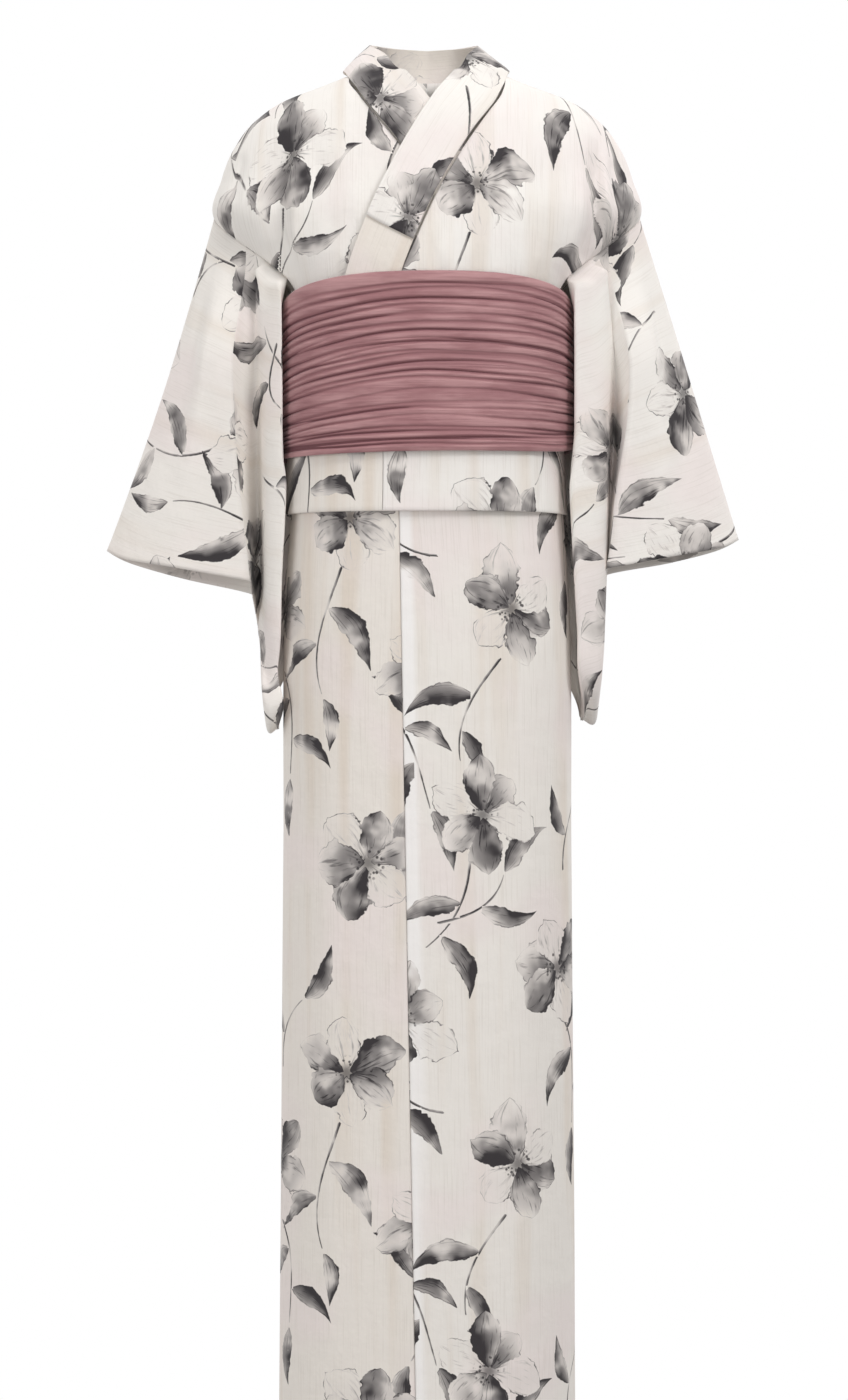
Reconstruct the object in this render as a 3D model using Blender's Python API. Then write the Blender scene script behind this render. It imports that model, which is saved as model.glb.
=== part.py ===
"""A cotton yukata robe worn with its obi, as a hollow garment of separately sewn pieces.

Metres, +Z up. The front faces -Y and the wearer's left is at +X. The origin lies midway
between the shoulders, where the wearer holds the garment up.
"""

import math
from typing import NamedTuple

import bpy
import numpy as np

CLOTH = 0.0010  # wall of one cotton layer
COLLAR_CLOTH = 0.0012  # wall of the folded collar band
OBI_CLOTH = 0.0022  # wall of the sash between its crinkles
SEAM_GAP = 0.0003  # between two pieces sewn edge to edge
UPPER_RADIUS = 0.10  # round which a seam gap becomes a turn
SKIRT_RADIUS = 0.12

# How far each layer's outer face lies outside the body form.
SKIRT_UNDER = 0.0
SKIRT_OVER = 0.0017
UPPER_UNDER = 0.0048
COLLAR_UNDER = 0.0068
UPPER_OVER = 0.0089
COLLAR_OVER = 0.0109
OVER_COLLAR_LIFT = 0.0018
OBI_FACE = 0.0144

TUCK_FOLD_RADIUS = 0.0012  # half the thickness of the folded waist tuck
TUCK_RETURN = 0.024  # how far the tuck's inner leaf runs back up
SKIRT_TOP_Z = -0.345
TUCK_BOTTOM_Z = -0.447
SIDE_OPENING_END_Z = -0.300  # below it the front and back of a panel are sewn at the side
HEM_Z = -1.435

OBI_CRINKLES = 21
OBI_CRINKLE_HEIGHT = 0.0026
OBI_ROWS_PER_CRINKLE = 2
OBI_COLUMNS = 32
OBI_LAP_TURN = 146.0  # past this turn the free end lies over the first one
OBI_LAP_LIFT = 0.0056
OBI_LAP_RISE = 20.0  # degrees within which it climbs there
OBI_FORM_Z = -0.262  # the obi holds this section's straight sides up to its top edge
CRINKLE_WANDER = 0.011  # share of the obi's height by which its crinkles run up and down
CRINKLE_MEAN = 0.68  # the crinkles' mean height, as a share of the tallest one's
WANDER_BY_SHARE = 7.2  # radians by which that run shifts from the top edge to the bottom one
WANDER_BY_TURN = 1.6  # the same for each radian of turn
SWING_BY_ROW = 1.9  # radians by which a crinkle's swell shifts from row to row
SWING_BY_TURN = 2.1  # the same for each radian of turn, at most
SWING_SPREAD = 0.7  # how unlike from row to row
RIGHT_LEAN = 0.095  # share of its height by which a crinkle sinks to the wearer's right side
RIGHT_LEAN_POWER = 1.3
LEFT_LEAN = 0.022

# Towards the wearer's left side and the neck, the left front comes down to the back's layer.
OVER_FULL_X = 0.100
OVER_GONE_X = 0.145
OVER_FULL_Z = -0.036
OVER_GONE_Z = 0.004

COTTON = (0.83, 0.79, 0.75)
COTTON_SHADE = (0.74, 0.69, 0.64)
ROSE = (0.36, 0.15, 0.16)
COTTON_ROUGHNESS = 0.85
ROSE_ROUGHNESS = 0.6


class Ring(NamedTuple):
    """One horizontal section of the body form, a superellipse."""

    z: float
    half_width: float
    front: float
    back: float
    power: float


BODY_FORM = (
    Ring(0.020, 0.083, 0.044, 0.062, 2.0),
    Ring(0.008, 0.113, 0.050, 0.066, 2.0),
    Ring(-0.006, 0.150, 0.057, 0.072, 2.0),
    Ring(-0.026, 0.180, 0.065, 0.080, 2.0),
    Ring(-0.055, 0.203, 0.075, 0.088, 2.0),
    Ring(-0.090, 0.217, 0.085, 0.095, 2.0),
    Ring(-0.126, 0.2245, 0.094, 0.100, 2.05),
    Ring(-0.150, 0.205, 0.098, 0.102, 2.1),
    Ring(-0.176, 0.176, 0.101, 0.102, 2.2),
    Ring(-0.202, 0.152, 0.102, 0.101, 2.3),
    Ring(-0.230, 0.144, 0.103, 0.100, 2.35),
    Ring(-0.262, 0.143, 0.103, 0.100, 2.4),
    Ring(-0.300, 0.143, 0.103, 0.100, 2.4),
    Ring(-0.385, 0.143, 0.104, 0.101, 2.4),
    Ring(-0.447, 0.146, 0.106, 0.104, 2.4),
    Ring(-0.520, 0.151, 0.108, 0.107, 2.4),
    Ring(-0.800, 0.154, 0.110, 0.109, 2.4),
    Ring(-1.200, 0.157, 0.112, 0.111, 2.4),
    Ring(-1.440, 0.159, 0.113, 0.112, 2.4),
)


FORM_TOP_Z = BODY_FORM[0].z
NORMAL_TURN = 0.5  # degrees to each side over which the form's direction is taken
NORMAL_RISE = 0.002  # the same up and down


class ArmSeam(NamedTuple):
    """One point of the seam between body panel and sleeve, front and back alike."""

    z: float
    turn: float  # degrees round the body from the centre front


ARM_SEAM = (
    ArmSeam(-0.126, 90.0),
    ArmSeam(-0.136, 84.0),
    ArmSeam(-0.147, 79.0),
    ArmSeam(-0.158, 75.0),
    ArmSeam(-0.169, 72.0),
    ArmSeam(-0.178, 70.0),
    ArmSeam(-0.187, 68.0),
    ArmSeam(-0.196, 66.0),
)


class FrontEdge(NamedTuple):
    """Where a front panel ends at its collar seam, as seen from the front."""

    z: float
    over: float  # x of the left panel's edge
    under: float  # -x of the right panel's edge


FRONT_EDGES = (
    FrontEdge(0.020, 0.0815, 0.0815),
    FrontEdge(0.008, 0.0820, 0.0815),
    FrontEdge(-0.006, 0.0780, 0.0720),
    FrontEdge(-0.026, 0.0650, 0.0570),
    FrontEdge(-0.055, 0.0455, 0.0340),
    FrontEdge(-0.090, 0.0240, 0.0090),
    FrontEdge(-0.126, 0.0055, -0.0120),
    FrontEdge(-0.168, -0.0130, -0.0250),
    FrontEdge(-0.202, -0.0280, -0.0330),
    FrontEdge(-0.262, -0.0370, -0.0420),
    FrontEdge(-0.345, -0.0430, -0.0480),
    FrontEdge(-0.447, -0.0450, -0.0500),
)


class CollarStation(NamedTuple):
    """One place along a collar: its seam on the panel and its free edge, wearer's left side."""

    seam_x: float
    seam_y: float
    seam_z: float
    edge_x: float
    edge_y: float
    edge_z: float


# From the nape round the side of the neck and down the left front.
COLLAR_OVER_PATH = (
    CollarStation(0.000, 0.0720, 0.0270, 0.0000, 0.0860, 0.0690),
    CollarStation(0.040, 0.0650, 0.0280, 0.0330, 0.0740, 0.0690),
    CollarStation(0.072, 0.0430, 0.0290, 0.0510, 0.0430, 0.0650),
    CollarStation(0.086, 0.0120, 0.0290, 0.0530, 0.0080, 0.0570),
    CollarStation(0.086, -0.0200, 0.0240, 0.0430, -0.0250, 0.0420),
    CollarStation(0.072, -0.0480, -0.0120, 0.0240, -0.0500, 0.0145),
    CollarStation(0.047, -0.0720, -0.0480, 0.0020, -0.0690, -0.0170),
    CollarStation(0.024, -0.0870, -0.0860, -0.0190, -0.0830, -0.0520),
    CollarStation(0.003, -0.0980, -0.1260, -0.0420, -0.0930, -0.0960),
    CollarStation(-0.014, -0.1040, -0.1660, -0.0620, -0.0980, -0.1400),
    CollarStation(-0.028, -0.1060, -0.2050, -0.0790, -0.0980, -0.1880),
    CollarStation(-0.037, -0.1070, -0.2500, -0.0900, -0.0960, -0.2400),
)
# The right side's own stretch, down under the left front (mirrored in x when it is built).
COLLAR_UNDER_PATH = (
    CollarStation(0.000, 0.0720, 0.0270, 0.0000, 0.0860, 0.0690),
    CollarStation(0.040, 0.0650, 0.0280, 0.0330, 0.0740, 0.0690),
    CollarStation(0.073, 0.0430, 0.0290, 0.0540, 0.0430, 0.0650),
    CollarStation(0.088, 0.0120, 0.0290, 0.0600, 0.0080, 0.0580),
    CollarStation(0.086, -0.0200, 0.0240, 0.0440, -0.0250, 0.0430),
    CollarStation(0.065, -0.0480, -0.0120, 0.0200, -0.0500, 0.0170),
    CollarStation(0.040, -0.0700, -0.0440, 0.0010, -0.0660, -0.0080),
    CollarStation(0.012, -0.0850, -0.0840, -0.0290, -0.0800, -0.0480),
    CollarStation(-0.010, -0.0960, -0.1260, -0.0530, -0.0900, -0.0920),
    CollarStation(-0.024, -0.1020, -0.1660, -0.0700, -0.0950, -0.1400),
    CollarStation(-0.033, -0.1040, -0.2050, -0.0830, -0.0940, -0.1900),
    CollarStation(-0.040, -0.1040, -0.2400, -0.0900, -0.0930, -0.2300),
)
LIES_FROM = 5  # from this station on, a collar lies on the body form
COLLAR_STEPS = 2
COLLAR_COLUMNS = 4
OVER_COLLAR_END = 9.0  # station at which the over-collar's short end lies
UNDER_COLLAR_END = 7.0


class SleeveRow(NamedTuple):
    """One level of a sleeve, from its seam (share 0) to its cuff (share 1)."""

    share: float
    crease_x: float
    valley_x: float
    valley_y: float
    roll_x: float
    inner_y: float  # how far the side by the body reaches in depth


class Sleeve(NamedTuple):
    """A sleeve's cuff and bag as it hangs on a lowered arm."""

    name: str
    side: int
    cuff_x: float
    cuff_z: float
    crease_z: float
    bag_z: float
    gather: float  # outward sag of the fold line at mid length
    back_drops: tuple  # how far the cuff's back layer hangs lower at its first stations
    bag_y: float  # where the bag's bottom seam hangs in depth
    rows: tuple


SLEEVES = (
    Sleeve(
        "sleeve_right", -1, 0.344, -0.485, -0.519, -0.676, 0.006, (0.0, 0.002, 0.008, 0.012), -0.045,
        (
            SleeveRow(0.00, 0.214, 0.182, -0.050, 0.171, 0.062),
            SleeveRow(0.30, 0.208, 0.181, -0.030, 0.170, 0.064),
            SleeveRow(0.65, 0.201, 0.180, -0.014, 0.170, 0.062),
            SleeveRow(0.85, 0.194, 0.179, -0.010, 0.170, 0.056),
            SleeveRow(0.94, 0.190, 0.180, -0.008, 0.173, 0.040),
            SleeveRow(1.00, 0.188, 0.180, 0.000, 0.171, 0.000),
        ),
    ),
    Sleeve(
        "sleeve_left", 1, 0.335, -0.473, -0.506, -0.667, 0.0, (0.0, 0.001, 0.004, 0.005), 0.0,
        (
            SleeveRow(0.00, 0.218, 0.190, -0.050, 0.176, 0.062),
            SleeveRow(0.25, 0.216, 0.198, -0.036, 0.183, 0.064),
            SleeveRow(0.55, 0.212, 0.198, -0.012, 0.187, 0.066),
            SleeveRow(0.78, 0.200, 0.192, -0.030, 0.187, 0.060),
            SleeveRow(0.93, 0.194, 0.188, -0.022, 0.185, 0.044),
            SleeveRow(1.00, 0.190, 0.186, 0.000, 0.183, 0.000),
        ),
    ),
)


class CuffStation(NamedTuple):
    """Where a station round the sleeve ends: shares of three heights, and an offset."""

    cuff: float
    crease: float
    bag: float
    offset: float


CUFF_STATIONS = (
    CuffStation(1.0, 0.0, 0.0, 0.0),
    CuffStation(1.0, 0.0, 0.0, -0.010),
    CuffStation(0.5, 0.5, 0.0, -0.003),
    CuffStation(0.0, 1.0, 0.0, 0.0),
    CuffStation(0.0, 1.0, 0.0, -0.028),
    CuffStation(0.0, 1.0, 0.0, -0.062),
    CuffStation(0.0, 0.0, 1.0, 0.003),
    CuffStation(0.0, 0.0, 1.0, 0.0),
    CuffStation(0.0, 0.0, 1.0, 0.0),
    CuffStation(0.0, 0.0, 1.0, 0.0),
)
STATIONS = 18  # points round a sleeve, from its top fold round the front to the back
LOOP_STEPS = 2  # columns between two stations
SEAM_STATION = 7  # the last station sewn to the body panel
CREASE_STATION = 3
INNER_STATION = 9
CLOSED_FROM = 5  # stations past this one are sewn shut at the cuff side
SLEEVE_LEVELS = (0.0, 0.03, 0.1, 0.2, 0.3, 0.4, 0.5, 0.6, 0.7, 0.8, 0.88, 0.94, 0.98, 1.0)
SEAM_REACH = 0.40  # share of the sleeve's length that its seam still shapes
SEAM_REACH_INSIDE = 0.03  # the same on the side next to the obi
SLEEVE_CLEARANCE = 0.005  # between a sleeve and the body beside it
BESIDE_MIDDLE_OUT = 0.002  # the side by the body bulges by this half way to its middle
FURI_DROP = 0.085  # the open inner edge starts this far below the armpit
FURI_SHARES = {8: 0.6, 9: 1.0}  # the share of that drop at its two stations
FOLD_INSET = 0.012  # from the top fold to the first station beside it, at the seam
FOLD_INSET_GAIN = 0.010  # the same, gained down to the cuff
FOLD_SIDE_DEPTH = 0.028
FACE_DEPTH = 0.049
CREASE_DEPTH = 0.057
CREASE_DEPTH_LOSS = 0.006  # by the cuff
ROLL_DEPTH_SHARE = 0.82  # of the side by the body
INNER_DEPTH_SHARES = {7: 1.0, 8: 0.70, 9: 0.0}
BAG_TURNS_FROM = 0.86  # the bag swings to its bottom seam's depth from this share on
BAG_SEAM_DEPTH = 0.0016

FRONT_COLUMNS = 12
BACK_COLUMNS = 8
NECK_ROWS = (0.020, 0.008, -0.006, -0.026, -0.055, -0.090)
LOWER_ROWS = (-0.230, -0.262, SIDE_OPENING_END_Z, -0.345, -0.392, -0.425)
UPPER_ROWS = NECK_ROWS + tuple(seam.z for seam in ARM_SEAM) + LOWER_ROWS + (TUCK_BOTTOM_Z,)
FIRST_ARM_ROW = len(NECK_ROWS)
LAST_ARM_ROW = FIRST_ARM_ROW + len(ARM_SEAM) - 1
JOINED_ROW = UPPER_ROWS.index(SIDE_OPENING_END_Z)
TUCK_FOLD_ANGLES = (60.0, 120.0, 180.0)
SIDE_OPENING_EASE = 6.0  # degrees by which the open side stands back from the sleeve
OVERLAP_FAR_TURN = -78.0  # the left overlap panel's free edge under the obi
OVERLAP_COLUMNS = 6

SKIRT_ROWS = (SKIRT_TOP_Z, -0.400, -0.447, -0.520, -0.660, -0.820, -1.000, -1.220, HEM_Z)
OKUMI_SEAM_TOP_X = 0.031
OKUMI_SEAM_HEM_X = 0.011
OVER_EDGE_TURN = -80.0  # the left overlap's free edge, at the wearer's right side
UNDER_EDGE_TURN = 54.0
OVER_RISE_TURNS = 14.0  # the left front climbs on to the under layer within this turn
SKIRT_COLUMNS = {
    "skirt_back_right": 8, "skirt_back_left": 8, "skirt_front_right": 9,
    "okumi_right_skirt": 5, "okumi_left_skirt": 7, "skirt_front_left": 11,
}

COLLAR_BOW = 0.004  # outward crown across the collar where it stands
OVER_CLIMB_START = 4.8
OVER_CLIMB_LENGTH = 1.2
COLLAR_AXIS_Y = 0.020  # the neck's middle, from which a standing collar crowns outward


class BesideReach(NamedTuple):
    """How far what a sleeve hangs beside stands out from the body form, down the body."""

    drop: float  # below the origin
    out: float


BESIDE_REACH = (
    BesideReach(0.100, 0.0100),
    BesideReach(0.190, 0.0140),
    BesideReach(0.210, 0.0175),
    BesideReach(0.385, 0.0175),
    BesideReach(0.410, 0.0100),
    BesideReach(0.600, 0.0060),
    BesideReach(1.000, 0.0050),
)


class ObiEdge(NamedTuple):
    """The height of the obi's two edges at a turn round the body."""

    turn: float
    top: float
    bottom: float


OBI_EDGES = (
    ObiEdge(-200.0, -0.206, -0.386),
    ObiEdge(-130.0, -0.212, -0.387),
    ObiEdge(-90.0, -0.230, -0.389),
    ObiEdge(-62.0, -0.213, -0.389),
    ObiEdge(0.0, -0.198, -0.386),
    ObiEdge(60.0, -0.210, -0.383),
    ObiEdge(90.0, -0.229, -0.377),
    ObiEdge(130.0, -0.208, -0.383),
    ObiEdge(200.0, -0.206, -0.386),
)
OBI_ENDS = 192.0  # degrees from the centre front to each end


def remove_everything():
    """Clears the scene."""
    for old in list(bpy.data.objects):
        bpy.data.objects.remove(old, do_unlink=True)


def material(name, colour, roughness):
    """A plain woven-cloth finish."""
    made = bpy.data.materials.new(name)
    made.use_nodes = True
    shader = made.node_tree.nodes["Principled BSDF"]
    shader.inputs["Base Color"].default_value = (*colour, 1.0)
    shader.inputs["Roughness"].default_value = roughness
    shader.inputs["Metallic"].default_value = 0.0
    return made


def smooth(rows, at):
    """The table's columns at a place in its first column, on smooth curves through its rows."""
    table = np.array(rows, float)
    keys = table[:, 0]
    if keys[0] > keys[-1]:
        table, keys = table[::-1], keys[::-1]
    at = min(max(at, keys[0]), keys[-1])
    i = min(max(int(np.searchsorted(keys, at)) - 1, 0), len(keys) - 2)
    width = keys[i + 1] - keys[i]
    slopes = np.gradient(table, keys, axis=0)
    t = (at - keys[i]) / width
    return (
        (2 * t**3 - 3 * t**2 + 1) * table[i]
        + (t**3 - 2 * t**2 + t) * width * slopes[i]
        + (3 * t**2 - 2 * t**3) * table[i + 1]
        + (t**3 - t**2) * width * slopes[i + 1]
    )


def step(t):
    """A smooth rise from 0 to 1."""
    t = min(max(t, 0.0), 1.0)
    return t * t * (3 - 2 * t)


def on_form(z, turn):
    """The body form's point at a height and a turn in degrees, 0 in front and 90 at +X."""
    _, half_width, front, back, power = smooth(BODY_FORM, z)
    angle = math.radians(turn)
    sine, cosine = math.sin(angle), math.cos(angle)
    depth = front if cosine > 0 else back
    x = half_width * math.copysign(abs(sine) ** (2 / power), sine)
    y = -depth * math.copysign(abs(cosine) ** (2 / power), cosine)
    return np.array([x, y, z])


def form_normal(z, turn):
    """The outward direction of the body form."""
    around = on_form(z, turn + NORMAL_TURN) - on_form(z, turn - NORMAL_TURN)
    up = on_form(min(z + NORMAL_RISE, FORM_TOP_Z), turn) - on_form(z - NORMAL_RISE, turn)
    normal = np.cross(around, up)
    return normal / np.linalg.norm(normal)


def turn_at(z, x):
    """The turn in degrees at which the body form's front has this x."""
    _, half_width, _, _, power = smooth(BODY_FORM, z)
    share = min(abs(x) / half_width, 1.0)
    return math.degrees(math.copysign(math.asin(share ** (power / 2)), x))


class Cloth:
    """The outer face of one piece of cloth, gathered point by point, then given its wall."""

    def __init__(self):
        self.points = []
        self.normals = []
        self.keys = {}
        self.faces = []

    def add(self, key, point, normal):
        """Keeps a point under a key, once."""
        if key not in self.keys:
            self.keys[key] = len(self.points)
            self.points.append(np.asarray(point, float))
            self.normals.append(None if normal is None else np.asarray(normal, float))

    def face(self, *keys):
        """Adds a face whose corners run anticlockwise as seen from outside."""
        corners = []
        for key in keys:
            index = self.keys[key]
            if index not in corners:
                corners.append(index)
        if len(corners) > 2:
            self.faces.append(corners)

    def grid(self, keys, flip=False):
        """Adds the faces of a grid of keys, rows running down and columns to the viewer's right."""
        for upper, lower in zip(keys, keys[1:]):
            for i in range(len(upper) - 1):
                corners = (upper[i], lower[i], lower[i + 1], upper[i + 1])
                self.face(*(corners[::-1] if flip else corners))

    def face_normals(self):
        """Fills in each normal that wasn't given, from the faces round its point."""
        points = np.array(self.points)
        total = np.zeros_like(points)
        for face in self.faces:
            a, b, c = points[face[0]], points[face[1]], points[face[2]]
            d = points[face[-1]]
            normal = np.cross(c - a, d - b) if len(face) == 4 else np.cross(b - a, c - a)
            for index in face:
                total[index] += normal
        total /= np.maximum(np.linalg.norm(total, axis=1, keepdims=True), 1e-12)
        for i, normal in enumerate(self.normals):
            if normal is None:
                self.normals[i] = total[i]

    def wall(self, name, thickness, look, depth=None):
        """Makes the piece's object: the outer face, the inner face and the rim between them."""
        self.face_normals()
        count = len(self.points)
        outer = np.array(self.points)
        inner = outer - thickness * np.array(self.normals)
        for key, reach in (depth or {}).items():
            index = self.keys[key]
            inner[index] = outer[index] - reach * self.normals[index]
        edges = {}
        for face in self.faces:
            for a, b in zip(face, face[1:] + face[:1]):
                edges[(a, b)] = edges.get((a, b), 0) + 1
        # Each face is cut along the same diagonal outside and inside, so that the wall is even.
        skin = [[f[0], f[i], f[i + 1]] for f in self.faces for i in range(1, len(f) - 1)]
        faces = skin + [[count + i for i in reversed(face)] for face in skin]
        faces += [[b, a, count + a, count + b] for a, b in edges if (b, a) not in edges]
        mesh = bpy.data.meshes.new(name)
        mesh.from_pydata([tuple(p) for p in np.vstack([outer, inner])], [], faces)
        mesh.validate()
        mesh.materials.append(look)
        mesh.shade_smooth()
        made = bpy.data.objects.new(name, mesh)
        bpy.context.scene.collection.objects.link(made)
        return made


# ---------------------------------------------------------------- upper body

def side_turn(row):
    """Where the panel's front ends at the side in this row, in degrees."""
    if row <= FIRST_ARM_ROW or row >= JOINED_ROW:
        return 90.0
    if row <= LAST_ARM_ROW:
        return ARM_SEAM[row - FIRST_ARM_ROW].turn
    share = (row - LAST_ARM_ROW) / (JOINED_ROW - LAST_ARM_ROW)
    return ARM_SEAM[-1].turn + share * (90.0 - ARM_SEAM[-1].turn) - SIDE_OPENING_EASE


def over_lift(z, x):
    """How far out the left front lies: over the right front, then level with the back."""
    across = step((OVER_GONE_X - x) / (OVER_GONE_X - OVER_FULL_X))
    rise = across * step((OVER_GONE_Z - z) / (OVER_GONE_Z - OVER_FULL_Z))
    return UPPER_UNDER + (UPPER_OVER - UPPER_UNDER) * rise


def panel_point(z, turn, side, over):
    """A point and its outward normal on a body panel, on the wearer's left at side 1."""
    point, normal = on_form(z, turn * side), form_normal(z, turn * side)
    out = over_lift(z, point[0]) if over and abs(turn) < 90 else UPPER_UNDER
    return point + out * normal, normal


def tuck_rows(turn, side, over):
    """The points and normals round the waist tuck's bottom fold and up its inner leaf."""
    down = np.array([0.0, 0.0, -1.0])
    point, flat = level_point(TUCK_BOTTOM_Z, turn, side, over)
    centre = point - TUCK_FOLD_RADIUS * flat
    for angle in TUCK_FOLD_ANGLES:
        turned = math.cos(math.radians(angle)) * flat + math.sin(math.radians(angle)) * down
        yield centre + TUCK_FOLD_RADIUS * turned, turned
    point, flat = level_point(TUCK_BOTTOM_Z + TUCK_RETURN, turn, side, over)
    yield point - 2 * TUCK_FOLD_RADIUS * flat, -flat


def level_point(z, turn, side, over):
    """A panel's point and its outward direction, kept level."""
    point, normal = panel_point(z, turn, side, over)
    flat = normal * (1, 1, 0)
    return point, flat / np.linalg.norm(flat)


def add_column(cloth, name, column, places, side, over, last_row):
    """Adds one column of a panel from the neck to its last row, with the tuck if it has one."""
    keys = []
    for row in range(last_row + 1):
        key, turn = places(row)
        point, normal = panel_point(UPPER_ROWS[row], turn, side, over)
        cloth.add(key, point, normal)
        keys.append(key)
    if last_row == len(UPPER_ROWS) - 1:
        turn = places(last_row)[1]
        for fold, (place, direction) in enumerate(tuck_rows(turn, side, over)):
            key = (name, "fold", fold, column)
            cloth.add(key, place, direction)
            keys.append(key)
    return keys


def front_turn(row, over):
    """Where the panel's front edge lies in this row, in degrees from the centre front."""
    z = UPPER_ROWS[row]
    edges = smooth(FRONT_EDGES, z)
    x = edges[1] if over else edges[2]
    return turn_at(z, x)


def body_panel(name, side, over, look):
    """A body panel: front and back in one length over the shoulder, open at the arm."""
    cloth = Cloth()
    gap = math.degrees(SEAM_GAP / 2 / UPPER_RADIUS)

    def front_place(column):
        def place(row):
            if column == FRONT_COLUMNS and (row <= FIRST_ARM_ROW or row >= JOINED_ROW):
                return ("ridge", row), 90.0
            start, end = front_turn(row, over), side_turn(row)
            if FIRST_ARM_ROW < row <= LAST_ARM_ROW:
                end -= gap
            return ("front", row, column), start + (end - start) * column / FRONT_COLUMNS
        return place

    def back_place(column):
        def place(row):
            if column == 0 and (row <= FIRST_ARM_ROW or row >= JOINED_ROW):
                return ("ridge", row), 90.0
            start = 180.0 - side_turn(row)
            if FIRST_ARM_ROW < row <= LAST_ARM_ROW:
                start += gap
            end = 180.0 - gap
            return ("back", row, column), start + (end - start) * column / BACK_COLUMNS
        return place

    last = len(UPPER_ROWS) - 1
    fronts = []
    for column in range(FRONT_COLUMNS + 1):
        keys = add_column(cloth, "front", column, front_place(column), side, over, last)
        fronts.append(keys)
    backs = []
    for column in range(BACK_COLUMNS + 1):
        keys = add_column(cloth, "back", column, back_place(column), side, over, last)
        backs.append(keys)
    # The side's fold points belong to front and back alike.
    for i, key in enumerate(backs[0]):
        if isinstance(key[1], str):
            backs[0][i] = fronts[-1][i]
    for columns in (fronts, backs):
        cloth.grid([list(row) for row in zip(*columns)], flip=side < 0)
    keep_used(cloth)
    return cloth.wall(name, CLOTH, look)


def keep_used(cloth):
    """Drops the points that no face uses."""
    order = sorted({index for face in cloth.faces for index in face})
    new = {old: i for i, old in enumerate(order)}
    cloth.points = [cloth.points[i] for i in order]
    cloth.normals = [cloth.normals[i] for i in order]
    cloth.faces = [[new[i] for i in face] for face in cloth.faces]
    cloth.keys = {key: new[i] for key, i in cloth.keys.items() if i in new}


def upper_overlap(look):
    """The left overlap panel's stretch under the obi and in the tuck."""
    cloth = Cloth()
    rows = [i for i, z in enumerate(UPPER_ROWS) if z <= SIDE_OPENING_END_Z]
    gap = math.degrees(SEAM_GAP / UPPER_RADIUS)
    columns = []
    for column in range(OVERLAP_COLUMNS + 1):
        keys = []
        for row in rows:
            z = UPPER_ROWS[row]
            inner = front_turn(row, True) - gap
            turn = OVERLAP_FAR_TURN + (inner - OVERLAP_FAR_TURN) * column / OVERLAP_COLUMNS
            point, normal = panel_point(z, turn, 1, True)
            key = (row, column)
            cloth.add(key, point, normal)
            keys.append(key)
        for fold, (place, direction) in enumerate(tuck_rows(turn, 1, True)):
            key = ("fold", fold, column)
            cloth.add(key, place, direction)
            keys.append(key)
        columns.append(keys)
    cloth.grid([list(row) for row in zip(*columns)])
    return cloth.wall("okumi_left_upper", CLOTH, look)


# ---------------------------------------------------------------- skirt

def okumi_seam_turn(z):
    """The overlap panel's seam at this height, in degrees from the centre front."""
    share = (SKIRT_TOP_Z - z) / (SKIRT_TOP_Z - HEM_Z)
    x = OKUMI_SEAM_TOP_X + (OKUMI_SEAM_HEM_X - OKUMI_SEAM_TOP_X) * share
    return turn_at(z, x)


def skirt_panel(name, start, end, lift, look):
    """A skirt panel between two edges, each a turn for every height, seen left to right."""
    cloth = Cloth()
    gap = math.degrees(SEAM_GAP / 2 / SKIRT_RADIUS)
    columns = SKIRT_COLUMNS[name]
    keys = []
    for row, z in enumerate(SKIRT_ROWS):
        first, last = start(z) + gap, end(z) - gap
        line = []
        for column in range(columns + 1):
            turn = first + (last - first) * column / columns
            normal = form_normal(z, turn)
            cloth.add((row, column), on_form(z, turn) + lift(turn) * normal, normal)
            line.append((row, column))
        keys.append(line)
    cloth.grid(keys)
    return cloth.wall(name, CLOTH, look)


def skirt(look, shade):
    """The skirt's six panels."""
    def under(turn):
        return SKIRT_UNDER

    def over(turn):
        return SKIRT_OVER * step((90.0 - turn) / OVER_RISE_TURNS)

    def at(turn):
        return lambda z: turn

    def over_seam(z):
        return -okumi_seam_turn(z)

    skirt_panel("skirt_back_right", at(-180.0), at(-90.0), under, look)
    skirt_panel("skirt_back_left", at(90.0), at(180.0), under, look)
    skirt_panel("skirt_front_right", at(-90.0), okumi_seam_turn, under, look)
    skirt_panel("okumi_right_skirt", okumi_seam_turn, at(UNDER_EDGE_TURN), under, shade)
    skirt_panel("okumi_left_skirt", at(OVER_EDGE_TURN), over_seam, over, shade)
    skirt_panel("skirt_front_left", over_seam, at(90.0), over, look)


# ---------------------------------------------------------------- collar

def collar_out(station, over):
    """How far the collar lies outside the body form at a station."""
    if not over:
        return COLLAR_UNDER
    climb = step((station - OVER_CLIMB_START) / OVER_CLIMB_LENGTH)
    return COLLAR_UNDER + (COLLAR_OVER - COLLAR_UNDER) * climb


def collar_point(path, station, share, over):
    """A point of a collar, share 0 at its seam and 1 at its free edge."""
    rows = [(i, *values) for i, values in enumerate(path)]
    _, sx, sy, sz, ex, ey, ez = smooth(rows, station)
    seam, edge = np.array([sx, sy, sz]), np.array([ex, ey, ez])
    straight = seam + (edge - seam) * share
    outward = np.array([straight[0], straight[1] - COLLAR_AXIS_Y, 0.0])
    outward /= max(np.linalg.norm(outward), 1e-9)
    straight = straight + outward * COLLAR_BOW * 4 * share * (1 - share)
    lies = step(station - LIES_FROM + 1)
    if lies == 0:
        return straight
    z = min(straight[2], FORM_TOP_Z)
    turn = turn_at(z, straight[0])
    flat = on_form(z, turn) + collar_out(station, over) * form_normal(z, turn)
    return straight + (flat - straight) * lies


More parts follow.
